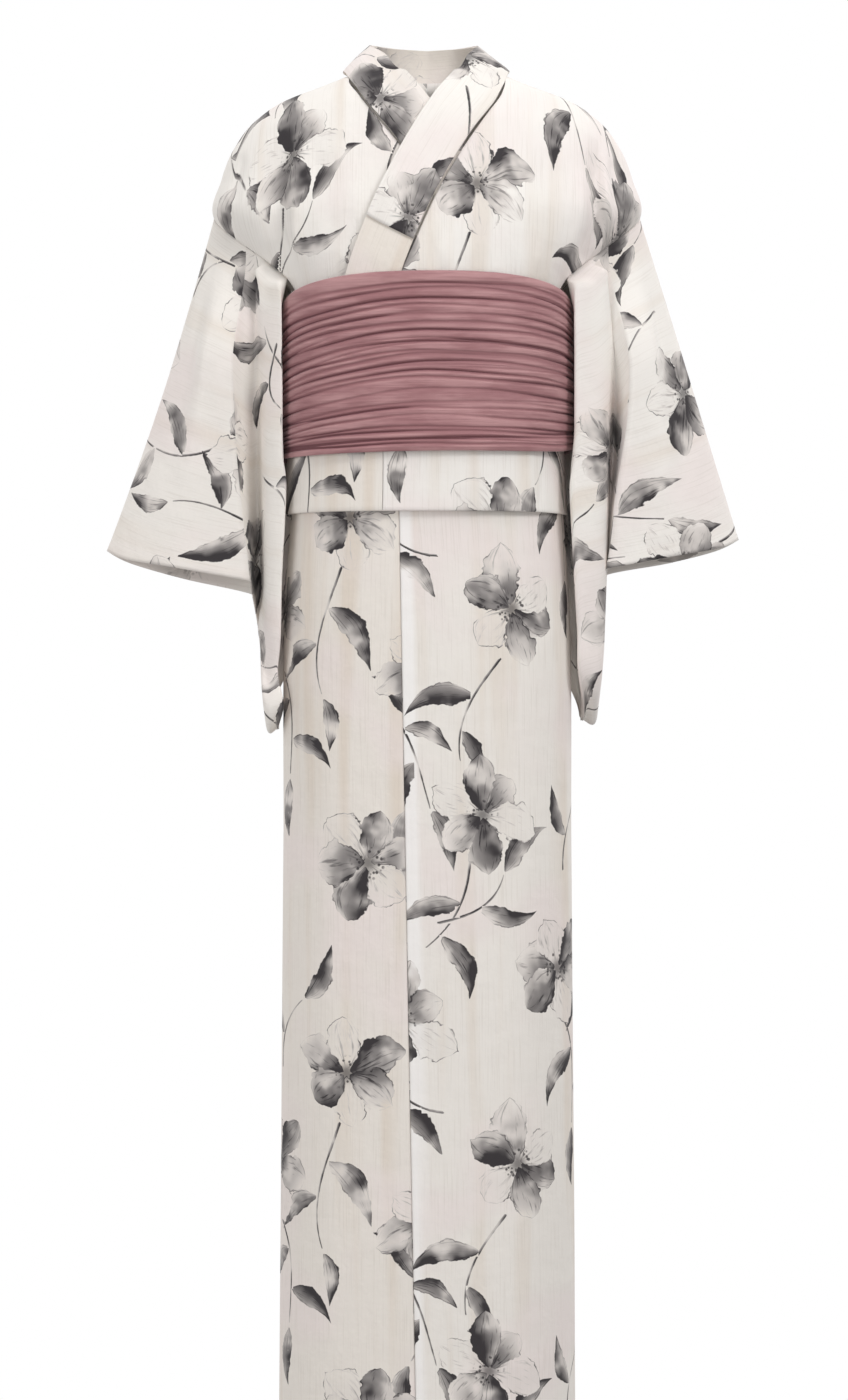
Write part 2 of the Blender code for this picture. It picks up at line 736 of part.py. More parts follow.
def collar_rows():
    """The collar's points from the right side's lower end round the nape to the left's."""
    def places(path):
        count = (len(path) - 1) * COLLAR_STEPS
        return [i / COLLAR_STEPS for i in range(count + 1)]

    shares = [i / COLLAR_COLUMNS for i in range(COLLAR_COLUMNS + 1)]
    rows = []
    for station in reversed(places(COLLAR_UNDER_PATH)[1:]):
        line = [collar_point(COLLAR_UNDER_PATH, station, share, False) for share in shares]
        rows.append((-station, [point * (-1, 1, 1) for point in line]))
    for station in places(COLLAR_OVER_PATH):
        line = [collar_point(COLLAR_OVER_PATH, station, share, True) for share in shares]
        rows.append((station, line))
    return rows


def collar_cloth(rows, lift):
    """The cloth over the given collar rows, moved out by a lift."""
    cloth = Cloth()
    keys = []
    for row, (_, line) in enumerate(rows):
        for column, point in enumerate(line):
            cloth.add((row, column), point, None)
        keys.append([(row, column) for column in range(len(line))])
    cloth.grid(keys, flip=True)
    cloth.face_normals()
    cloth.points = [p + lift * n for p, n in zip(cloth.points, cloth.normals)]
    return cloth


def collar(look):
    """The collar band and the over-collar sewn on it."""
    rows = collar_rows()
    band = collar_cloth(rows, 0.0)
    band.wall("collar", COLLAR_CLOTH, look)
    shorter = [row for row in rows if -UNDER_COLLAR_END < row[0] <= OVER_COLLAR_END]
    collar_cloth(shorter, OVER_COLLAR_LIFT).wall("over_collar", CLOTH, look)


# ---------------------------------------------------------------- sleeves

def beside_body(z, y):
    """The nearest x at which a sleeve clears the obi, tuck or skirt at a height and depth."""
    _, half_width, front, back, power = smooth(BODY_FORM, min(z, OBI_FORM_Z))
    depth = front if y < 0 else back
    share = min(abs(y) / depth, 0.95)
    drops, outs = zip(*BESIDE_REACH)
    out = float(np.interp(-z, drops, outs))
    return half_width * (1 - share**power) ** (1 / power) + out + SLEEVE_CLEARANCE


def seam_point(station):
    """The body panel's edge at an arm seam station, on the wearer's left."""
    on_front = station <= SEAM_STATION
    seam = ARM_SEAM[station if on_front else STATIONS - station]
    turn = seam.turn if on_front else 180.0 - seam.turn
    return panel_point(seam.z, turn, 1, False)


def sleeve_station(sleeve, share, station):
    """The free shape of a sleeve at one level and one of its 18 stations round the loop."""
    _, crease, valley, valley_y, roll, inner_y = smooth(sleeve.rows, share)
    shoulder = seam_point(0)[0]
    fold = shoulder[0] + (sleeve.cuff_x - shoulder[0]) * share
    fold -= sleeve.gather * math.sin(math.pi * share)
    front = station if station <= INNER_STATION else STATIONS - station
    back = 1 if station > INNER_STATION else -1
    ends = CUFF_STATIONS[front]
    cuff_z = ends.cuff * sleeve.cuff_z + ends.crease * sleeve.crease_z + ends.bag * sleeve.bag_z
    cuff_z += ends.offset
    if station > INNER_STATION and front < len(sleeve.back_drops):
        cuff_z -= sleeve.back_drops[front]
    if front <= SEAM_STATION:
        top_z = ARM_SEAM[front].z
    else:
        top_z = ARM_SEAM[-1].z - FURI_DROP * FURI_SHARES[front]
    z = top_z + (cuff_z - top_z) * share
    forward = sleeve.bag_y * step((share - BAG_TURNS_FROM) / (1 - BAG_TURNS_FROM))
    shape = {
        0: (fold, 0.0),
        1: (fold - FOLD_INSET - FOLD_INSET_GAIN * share, FOLD_SIDE_DEPTH),
        2: ((fold + crease) / 2, FACE_DEPTH),
        3: (crease, CREASE_DEPTH - CREASE_DEPTH_LOSS * share),
        4: ((crease + valley) / 2, (CREASE_DEPTH - 2 * valley_y) / 3),
        5: (valley, -valley_y),
        6: (roll, ROLL_DEPTH_SHARE * inner_y),
    }
    if front in shape:
        x, y = shape[front]
        return np.array([x, back * y + (forward if front == 6 else 0.0), z])
    y = back * INNER_DEPTH_SHARES[front] * inner_y + forward
    x = beside_body(z, y)
    if front == 8:
        x += BESIDE_MIDDLE_OUT
    if station == SEAM_STATION:
        x = (2 * x + roll) / 3
    return np.array([x, y, z])


def sleeve_ring(sleeve, share):
    """The closed loop of points at one level, from the fold round the front to the back."""
    ring = []
    for station in range(STATIONS):
        point = sleeve_station(sleeve, share, station)
        front = station if station <= INNER_STATION else STATIONS - station
        if front <= SEAM_STATION:
            reach = SEAM_REACH if front < CLOSED_FROM else SEAM_REACH_INSIDE
            start = sleeve_station(sleeve, 0.0, station)
            point += (1 - step(share / reach)) * (seam_point(station)[0] - start)
        ring.append(point)
    loop = []
    for i in range(STATIONS):
        before, here = ring[i - 1], ring[i]
        ahead, after = ring[(i + 1) % STATIONS], ring[(i + 2) % STATIONS]
        sharp = i in (CREASE_STATION, CREASE_STATION - 1)
        for part in range(LOOP_STEPS):
            t = part / LOOP_STEPS
            line = here + (ahead - here) * t
            curve = line if part == 0 else (9 * (here + ahead) - before - after) / 16
            loop.append(line if share == 0 or sharp else curve)
    return loop


def sleeve_solid(sleeve, look):
    """A sleeve: a hanging tube, open at the arm and the cuff, its bag sewn shut below."""
    cloth = Cloth()
    count = STATIONS * LOOP_STEPS
    closed = CLOSED_FROM * LOOP_STEPS
    middle = INNER_STATION * LOOP_STEPS
    rings = [sleeve_ring(sleeve, share) for share in SLEEVE_LEVELS]
    bottom = len(rings) - 1
    mirror = np.array([sleeve.side, 1, 1])
    depth = {}
    keys = []
    for level, ring in enumerate(rings):
        line = []
        for i, point in enumerate(ring):
            normal = None
            if level == 0:
                ahead = rings[1][i] - point
                point = point + SEAM_GAP * ahead / np.linalg.norm(ahead)
                station = i // LOOP_STEPS
                sewn = min(station, STATIONS - station) <= SEAM_STATION
                if i % LOOP_STEPS == 0 and sewn:
                    normal = seam_point(station)[1] * mirror
            key = (level, i)
            if level == bottom and middle < i <= count - closed:
                key = (level, count - i)
            elif level == bottom and closed <= i <= middle:
                depth[key] = BAG_SEAM_DEPTH
                point = np.array([point[0], sleeve.bag_y, point[2]])
            cloth.add(key, point * mirror, normal)
            line.append(key)
        keys.append(line + [line[0]])
    cloth.grid(keys, flip=sleeve.side > 0)
    return cloth.wall(sleeve.name, CLOTH, look, depth)


# ---------------------------------------------------------------- obi

def obi_lean(turn):
    """How far the crinkles sink towards each side, as a share of the obi's height."""
    sine = math.sin(math.radians(turn))
    right = RIGHT_LEAN * max(-sine, 0.0) ** RIGHT_LEAN_POWER
    return right + LEFT_LEAN * max(sine, 0.0)


def crinkle_rise(row, turn):
    """A crinkle's height at its ridge row and a turn round the body: each swells and fades."""
    swing = math.sin(SWING_BY_ROW * row + math.radians(SWING_BY_TURN * turn) * math.cos(SWING_SPREAD * row))
    return OBI_CRINKLE_HEIGHT * (CRINKLE_MEAN + (1 - CRINKLE_MEAN) * swing)


def obi(look):
    """The sash: one crinkled band round the waist, its free end lapped at the centre back."""
    cloth = Cloth()
    inner_face = OBI_FACE - OBI_CLOTH
    depth = {}
    rows = OBI_CRINKLES * OBI_ROWS_PER_CRINKLE
    keys = [[] for _ in range(rows + 1)]
    for column in range(OBI_COLUMNS + 1):
        turn = -OBI_ENDS + 2 * OBI_ENDS * column / OBI_COLUMNS
        _, top, bottom = smooth(OBI_EDGES, turn)
        lap = OBI_LAP_LIFT * step((turn - OBI_LAP_TURN) / OBI_LAP_RISE)
        for row in range(rows + 1):
            share = row / rows
            wander = CRINKLE_WANDER * math.sin(WANDER_BY_SHARE * share + math.radians(WANDER_BY_TURN * turn))
            wander = (wander + obi_lean(turn)) * math.sin(math.pi * share)
            z = top + (bottom - top) * (share + wander)
            rise = crinkle_rise(row, turn) if row % OBI_ROWS_PER_CRINKLE == 1 else 0.0
            waist = min(z, OBI_FORM_Z)
            normal = form_normal(waist, turn) * (1, 1, 0)
            normal /= np.linalg.norm(normal)
            point = on_form(waist, turn) + (OBI_FACE + lap + rise) * normal
            point[2] = z
            key = (row, column)
            cloth.add(key, point, normal)
            depth[key] = OBI_CLOTH + rise
            keys[row].append(key)
    cloth.grid(keys)
    return cloth.wall("obi", OBI_CLOTH, look, depth)


def main():
    """Builds every piece."""
    remove_everything()
    cotton = material("cotton", COTTON, COTTON_ROUGHNESS)
    shade = material("cotton_shade", COTTON_SHADE, COTTON_ROUGHNESS)
    rose = material("crinkled_sash", ROSE, ROSE_ROUGHNESS)
    body_panel("body_right", -1, False, cotton)
    body_panel("body_left", 1, True, cotton)
    upper_overlap(shade)
    skirt(cotton, shade)
    collar(cotton)
    for sleeve in SLEEVES:
        sleeve_solid(sleeve, cotton)
    obi(rose)


main()
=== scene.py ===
"""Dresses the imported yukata: every piece of cloth with its folds, print, sewing and sash.

Metres, +Z up, the front faces -Y and the wearer's left is at +X. Each sewn piece is a thin
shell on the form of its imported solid, laid out in cloth metres by its own UV map.
"""

from __future__ import annotations

import logging
import math
from dataclasses import dataclass, field
from enum import Enum
from typing import Callable, Iterable, Sequence

import bpy
import numpy as np
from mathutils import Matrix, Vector
from numpy.typing import NDArray

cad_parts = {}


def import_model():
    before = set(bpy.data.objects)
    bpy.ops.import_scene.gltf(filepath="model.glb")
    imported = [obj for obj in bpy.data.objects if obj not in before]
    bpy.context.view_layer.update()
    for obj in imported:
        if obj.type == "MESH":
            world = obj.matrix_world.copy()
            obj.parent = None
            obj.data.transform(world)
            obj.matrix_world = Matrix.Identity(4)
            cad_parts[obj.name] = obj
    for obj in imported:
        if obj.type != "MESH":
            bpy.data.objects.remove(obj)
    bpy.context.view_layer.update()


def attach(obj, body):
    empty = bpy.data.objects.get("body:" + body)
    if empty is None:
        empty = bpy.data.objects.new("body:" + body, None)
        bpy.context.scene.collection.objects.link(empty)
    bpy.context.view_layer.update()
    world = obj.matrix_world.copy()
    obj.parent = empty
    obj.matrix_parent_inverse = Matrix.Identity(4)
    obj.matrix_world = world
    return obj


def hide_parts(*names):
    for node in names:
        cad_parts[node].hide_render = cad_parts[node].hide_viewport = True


Array = NDArray[np.float64]
Colour = tuple[int, int, int]  # red, green and blue, from 0 to 255
Piece = bpy.types.Object
Socket = bpy.types.NodeSocket
LOG = logging.getLogger("yukata")

CLOTH = 0.0009  # wall of one cotton layer
OBI_CLOTH = 0.0020
SEAM_GAP = 0.0003

# How far each layer's outer face lies outside the body form.
UPPER_UNDER = 0.0048
UPPER_OVER = 0.0089
COLLAR_UNDER = 0.0068
COLLAR_OVER = 0.0109
OVER_COLLAR_LIFT = 0.0018
SKIRT_OVER = 0.0017
OBI_FACE = 0.0144

TUCK_FOLD_RADIUS = 0.0012
TUCK_RETURN = 0.024
TUCK_BOTTOM_Z = -0.447
SKIRT_TOP_Z = -0.345
SIDE_OPENING_END_Z = -0.300
HEM_Z = -1.435
FORM_TOP_Z = 0.020
OBI_FORM_Z = -0.262


# ---------------------------------------------------------------- tables and curves


def eased(t: Array | float) -> Array:
    """Returns a smooth rise from 0 to 1 as t goes from 0 to 1."""
    t = np.clip(t, 0.0, 1.0)
    return t * t * (3 - 2 * t)


def unit(vectors: Array) -> Array:
    """Returns vectors of length 1 in the same directions."""
    return vectors / np.maximum(np.linalg.norm(vectors, axis=-1, keepdims=True), 1e-12)


def placed(name: str, data: bpy.types.ID) -> Piece:
    """Makes an object of a mesh, a lamp or a camera, and links it into the scene.

    Args:
        name: the object's name.
        data: what it shows.

    Returns:
        The object.
    """
    made = bpy.data.objects.new(name, data)
    bpy.context.scene.collection.objects.link(made)
    return made


class Curve:
    """A table read on smooth curves through its rows, by its first column."""

    def __init__(self, rows: Sequence[Sequence[float]]) -> None:
        """Keeps the rows in rising order of their first column.

        Args:
            rows: the table, in rising or falling order.
        """
        table = np.array([tuple(row) for row in rows], float)
        if table[0, 0] > table[-1, 0]:
            table = table[::-1]
        self.keys, self.values = table[:, 0], table[:, 1:]
        self.slopes = np.gradient(self.values, self.keys, axis=0)

    def at(self, where: Array | float) -> Array:
        """Reads the table.

        Args:
            where: places in the first column, of any shape.

        Returns:
            The other columns there, on a last axis of their own.
        """
        where = np.clip(np.asarray(where, float), self.keys[0], self.keys[-1])
        i = np.clip(np.searchsorted(self.keys, where) - 1, 0, len(self.keys) - 2)
        width = (self.keys[i + 1] - self.keys[i])[..., None]
        t = (where - self.keys[i])[..., None] / width
        return (
            (2 * t**3 - 3 * t**2 + 1) * self.values[i]
            + (t**3 - 2 * t**2 + t) * width * self.slopes[i]
            + (3 * t**2 - 2 * t**3) * self.values[i + 1]
            + (t**3 - t**2) * width * self.slopes[i + 1]
        )


# z, half width, front depth, back depth, superellipse power
BODY_FORM = (
    (0.020, 0.083, 0.044, 0.062, 2.0), (0.008, 0.113, 0.050, 0.066, 2.0),
    (-0.006, 0.150, 0.057, 0.072, 2.0), (-0.026, 0.180, 0.065, 0.080, 2.0),
    (-0.055, 0.203, 0.075, 0.088, 2.0), (-0.090, 0.217, 0.085, 0.095, 2.0),
    (-0.126, 0.2245, 0.094, 0.100, 2.05), (-0.150, 0.205, 0.098, 0.102, 2.1),
    (-0.176, 0.176, 0.101, 0.102, 2.2), (-0.202, 0.152, 0.102, 0.101, 2.3),
    (-0.230, 0.144, 0.103, 0.100, 2.35), (-0.262, 0.143, 0.103, 0.100, 2.4),
    (-0.300, 0.143, 0.103, 0.100, 2.4), (-0.385, 0.143, 0.104, 0.101, 2.4),
    (-0.447, 0.146, 0.106, 0.104, 2.4), (-0.520, 0.151, 0.108, 0.107, 2.4),
    (-0.800, 0.154, 0.110, 0.109, 2.4), (-1.200, 0.157, 0.112, 0.111, 2.4),
    (-1.440, 0.159, 0.113, 0.112, 2.4),
)
# z, turn in degrees from the centre front
ARM_SEAM = (
    (-0.126, 90.0), (-0.136, 84.0), (-0.147, 79.0), (-0.158, 75.0),
    (-0.169, 72.0), (-0.178, 70.0), (-0.187, 68.0), (-0.196, 66.0),
)
# z, x of the left panel's front edge, -x of the right panel's
FRONT_EDGES = (
    (0.020, 0.0815, 0.0815), (0.008, 0.0820, 0.0815), (-0.006, 0.0780, 0.0720),
    (-0.026, 0.0650, 0.0570), (-0.055, 0.0455, 0.0340), (-0.090, 0.0240, 0.0090),
    (-0.126, 0.0055, -0.0120), (-0.168, -0.0130, -0.0250), (-0.202, -0.0280, -0.0330),
    (-0.262, -0.0370, -0.0420), (-0.345, -0.0430, -0.0480), (-0.447, -0.0450, -0.0500),
)

# azimuth in degrees from the nape, radius, z of the collar's seam round the neck
NECK_SEAM = (
    (0.0, 0.0720, 0.027), (31.6, 0.0763, 0.028), (59.1, 0.0839, 0.029), (82.1, 0.0868, 0.029),
    (103.1, 0.0883, 0.024),
)
NECK_ALLOWANCE_INSET = 0.0018
NECK_ALLOWANCE_RISE = 0.003


class BodyForm:
    """The padded form that the garment is worn on, as stacked superellipses."""

    def __init__(self) -> None:
        """Reads the table of rings."""
        self.rings = Curve(BODY_FORM)

    def point(self, z: Array, turn: Array) -> Array:
        """Finds points of the form.

        Args:
            z: heights.
            turn: turns in degrees, 0 in front and 90 at +X, of the same shape.

        Returns:
            The points, xyz on the last axis.
        """
        z, turn = np.broadcast_arrays(np.asarray(z, float), np.asarray(turn, float))
        half_width, front, back, power = np.moveaxis(self.rings.at(z), -1, 0)
        sine, cosine = np.sin(np.radians(turn)), np.cos(np.radians(turn))
        depth = np.where(cosine > 0, front, back)
        x = half_width * np.sign(sine) * np.abs(sine) ** (2 / power)
        y = -depth * np.sign(cosine) * np.abs(cosine) ** (2 / power)
        return np.stack([x, y, z], axis=-1)

    def normal(self, z: Array, turn: Array) -> Array:
        """Finds the outward directions at the same places as point().

        Args:
            z: heights.
            turn: turns in degrees.

        Returns:
            Unit vectors on the last axis.
        """
        z, turn = np.broadcast_arrays(np.asarray(z, float), np.asarray(turn, float))
        around = self.point(z, turn + 0.5) - self.point(z, turn - 0.5)
        up = self.point(np.minimum(z + 0.002, FORM_TOP_Z), turn) - self.point(z - 0.002, turn)
        return unit(np.cross(around, up))

    def turn_at(self, z: Array, x: Array) -> Array:
        """Finds where the form's front has a given x.

        Args:
            z: heights.
            x: the x wanted at each.

        Returns:
            The turns in degrees.
        """
        values = self.rings.at(z)
        share = np.minimum(np.abs(x) / values[..., 0], 1.0)
        return np.degrees(np.sign(x) * np.arcsin(share ** (values[..., 3] / 2)))


# ---------------------------------------------------------------- cloth


@dataclass(frozen=True)
class Crease:
    """One soft trough or ridge pressed into the cloth, along a line in cloth metres."""

    line: tuple[tuple[float, float], ...]
    depth: float  # outward, so a trough is negative
    width: float
    fade: float = 0.25  # share of its length over which each end dies away
    left_width: float | None = None  # its width on the left of its line, where it differs

    def height(self, uv: Array) -> Array:
        """Works out the crease's height over the cloth.

        Args:
            uv: places in cloth metres, on the last axis.

        Returns:
            The outward height in metres at each place.
        """
        line = np.array(self.line, float)
        steps = np.linalg.norm(np.diff(line, axis=0), axis=1)
        before = np.concatenate([[0.0], np.cumsum(steps)])
        nearest = np.full(uv.shape[:-1], 1e9)
        along, left = np.zeros(uv.shape[:-1]), np.zeros(uv.shape[:-1], bool)
        for i, (a, b) in enumerate(zip(line, line[1:])):
            ab = b - a
            t = np.clip(((uv - a) @ ab) / (ab @ ab), 0.0, 1.0)
            away = np.linalg.norm(uv - a - t[..., None] * ab, axis=-1)
            closer = away < nearest
            nearest = np.where(closer, away, nearest)
            along = np.where(closer, (before[i] + t * steps[i]) / before[-1], along)
            side = ab[0] * (uv[..., 1] - a[1]) - ab[1] * (uv[..., 0] - a[0])
            left = np.where(closer, side > 0, left)
        ends = eased(along / self.fade) * eased((1 - along) / self.fade)
        width = np.where(left & (self.left_width is not None), self.left_width or 1.0, self.width)
        return self.depth * ends * np.exp(-((nearest / width) ** 2))


def creased(uv: Array, creases: Iterable[Crease]) -> Array:
    """Adds up the heights of several creases.

    Args:
        uv: places in cloth metres, on the last axis.
        creases: the creases.

    Returns:
        The outward height at each place.
    """
    total = np.zeros(uv.shape[:-1])
    for crease in creases:
        total += crease.height(uv)
    return total


@dataclass
class Patch:
    """One run of cloth as a grid: rows go down it and columns to the viewer's right."""

    points: Array
    uv: Array
    flip: bool = False

    def normals(self) -> Array:
        """Returns the outward unit vectors over the grid."""
        down, across = (np.gradient(self.points, axis=axis) for axis in (0, 1))
        return unit(np.cross(down, across) * (-1 if self.flip else 1))

    def pressed(self, height: Array) -> Patch:
        """Returns the patch with its cloth moved out by a height at each point."""
        return Patch(self.points + height[..., None] * self.normals(), self.uv, self.flip)


@dataclass
class Shell:
    """A piece of cloth with a wall, sewn together from patches that share their edges."""

    name: str
    patches: list[Patch]
    wall: float = CLOTH
    weld: float = 1e-5

    def build(self) -> Piece:
        """Makes the piece: an outer face, an inner face and the rim between them.

        Returns:
            The object, with its UV map in cloth metres.
        """
        points, quads, uvs, offset = [], [], [], 0
        for patch in self.patches:
            rows, columns = patch.points.shape[:2]
            index = offset + np.arange(rows * columns).reshape(rows, columns)
            quad = np.stack(
                [index[:-1, :-1], index[1:, :-1], index[1:, 1:], index[:-1, 1:]], axis=-1
            ).reshape(-1, 4)
            quads.append(quad[:, ::-1] if patch.flip else quad)
            points.append(patch.points.reshape(-1, 3))
            uvs.append(patch.uv.reshape(rows * columns, -1))
            offset += rows * columns
        place, quad, uv = np.vstack(points), np.vstack(quads), np.vstack(uvs)
        corner_uv = uv[quad]
        _, first, same = np.unique(
            np.round(place / self.weld), axis=0, return_index=True, return_inverse=True
        )
        place, quad = place[first], same.reshape(-1)[quad]
        whole = (quad[:, 0] != quad[:, 2]) & (quad[:, 1] != quad[:, 3])
        whole &= (np.sort(quad, axis=1)[:, 1:] != np.sort(quad, axis=1)[:, :-1]).sum(1) >= 2
        quad, corner_uv = quad[whole], corner_uv[whole]
        diagonal = np.cross(
            place[quad[:, 2]] - place[quad[:, 0]], place[quad[:, 3]] - place[quad[:, 1]]
        )
        normal = np.zeros_like(place)
        for corner in range(4):
            np.add.at(normal, quad[:, corner], diagonal)
        count = len(place)
        inner = place - self.wall * unit(normal)
        edge = np.stack([quad, np.roll(quad, -1, axis=1)], axis=-1).reshape(-1, 2)
        edge_uv = np.stack([corner_uv, np.roll(corner_uv, -1, axis=1)], axis=2).reshape(len(edge), 2, -1)
        edge, edge_uv = edge[edge[:, 0] != edge[:, 1]], edge_uv[edge[:, 0] != edge[:, 1]]
        forward = edge[:, 0] * count + edge[:, 1]
        lone = ~np.isin(forward, edge[:, 1] * count + edge[:, 0])
        rim, rim_uv = edge[lone], edge_uv[lone]
        rims = np.stack([rim[:, 1], rim[:, 0], rim[:, 0] + count, rim[:, 1] + count], axis=1)
        rims_uv = np.stack([rim_uv[:, 1], rim_uv[:, 0], rim_uv[:, 0], rim_uv[:, 1]], axis=1)
        faces = np.vstack([quad, quad[:, ::-1] + count, rims])
        face_uv = np.vstack([corner_uv, corner_uv[:, ::-1], rims_uv])
        inside = np.repeat([0.0, 1.0, 0.5], [len(quad), len(quad), len(rims)])
        return self._object(np.vstack([place, inner]), faces, face_uv, inside)

    def _object(self, place: Array, faces: Array, face_uv: Array, inside: Array) -> Piece:
        """Turns arrays into a mesh object.

        Args:
            place: all vertices.
            faces: four vertex indices a face, one repeated where it is a triangle.
            face_uv: cloth metres at each face's corners.
            inside: 0 on the outer face, 1 on the inner one.

        Returns:
            The linked object.
        """
        distinct = faces != np.roll(faces, 1, axis=1)
        sizes = distinct.sum(axis=1)
        keep = sizes >= 3
        faces, face_uv, inside = faces[keep], face_uv[keep], inside[keep]
        distinct, sizes = distinct[keep], sizes[keep]
        mesh = bpy.data.meshes.new(self.name)
        mesh.vertices.add(len(place))
        mesh.vertices.foreach_set("co", place.astype(np.float32).ravel())
        loops = faces[distinct].astype(np.int32)
        mesh.loops.add(len(loops))
        mesh.loops.foreach_set("vertex_index", loops)
        mesh.polygons.add(len(faces))
        starts = np.concatenate([[0], np.cumsum(sizes)[:-1]]).astype(np.int32)
        mesh.polygons.foreach_set("loop_start", starts)
        mesh.update(calc_edges=True)
        layer = mesh.uv_layers.new(name="cloth_metres")
        at_corners = face_uv[distinct].astype(np.float32)
        layer.data.foreach_set("uv", at_corners[:, :2].ravel())
        if at_corners.shape[1] > 2:
            relief = mesh.attributes.new("relief", "FLOAT", "CORNER")
            relief.data.foreach_set("value", at_corners[:, 2].copy())
        side = mesh.attributes.new("inner_side", "FLOAT", "FACE")
        side.data.foreach_set("value", inside.astype(np.float32))
        mesh.validate()
        mesh.shade_smooth()
        return placed(self.name, mesh)


# ---------------------------------------------------------------- upper body

SHOULDER_RINGS = BODY_FORM[:6]
TUCK_FOLD_ANGLES = (60.0, 90.0, 120.0, 150.0, 180.0)
TUCK_LEAF_SHARES = (0.25, 0.5, 0.75, 1.0)
TUCK_RUN = (0.001, 0.028)  # of cloth below the panel's last row, to the tuck's first and last row
NECK_ALLOWANCE_RUN = ((0.0, 0.012), (0.0, 0.006))
CHEST_RADIUS = 0.10  # turns a seam's gap into degrees
OVERLAP_FAR_TURN = -78.0
SIDE_OPENING_EASE = 6.0
BACK_CLOSES_AT = 0.22

# Where the obi holds the folds still, and how much they may still move in the tuck.
OBI_HOLDS_Z = -0.203
OBI_LETS_GO_Z = -0.392
TUCK_GIVE = 0.6
PANEL_REACH = 0.16  # from the centre to the side, for the seams' hold
OVER_LIES_TO = 0.10
OVER_ROOM = 0.0016  # how far a fold may sink where one front lies on the other
OPEN_ROOM = 0.020

# Towards the wearer's left side and the neck, the left front comes down to the back's layer.
OVER_FULL_X = 0.100
OVER_GONE_X = 0.145
OVER_FULL_Z = -0.036
OVER_GONE_Z = 0.004


class Side(Enum):
    """Which half of the garment a body panel or sleeve is, by the wearer."""

    RIGHT = -1
    LEFT = 1


def levels(marks: Sequence[float], pitch: float) -> Array:
    """Divides the runs between marks evenly, keeping every mark.

    Args:
        marks: the marks, in order.
        pitch: the coarsest step allowed.

    Returns:
        The levels.
    """
    runs = []
    for a, b in zip(marks, marks[1:]):
        count = max(1, math.ceil(abs(b - a) / pitch))
        runs.append(np.linspace(a, b, count, endpoint=False))
    return np.concatenate([*runs, [marks[-1]]])


def column_shares(count: int, close: float = 0.006) -> Array:
    """Spreads columns evenly over a piece, with two closer ones at each edge for its seams.

    Args:
        count: how many steps there are between columns.
        close: the share of the way to the closest one.

    Returns:
        Each column's share of the way across.
    """
    inner = np.linspace(2.5 * close, 1 - 2.5 * close, count - 3)
    return np.concatenate([[0, close], inner, [1 - close, 1]])


def arc_lengths(points: Array, axis: int) -> Array:
    """Measures a grid of points along one of its axes.

    Args:
        points: rows, columns and xyz.
        axis: 0 to measure down the rows, 1 to measure across the columns.

    Returns:
        The length from the first row or column to each point.
    """
    steps = np.linalg.norm(np.diff(points, axis=axis), axis=-1)
    total = np.cumsum(steps, axis=axis)
    shape = list(total.shape)
    shape[axis] = 1
    return np.concatenate([np.zeros(shape), total], axis=axis)


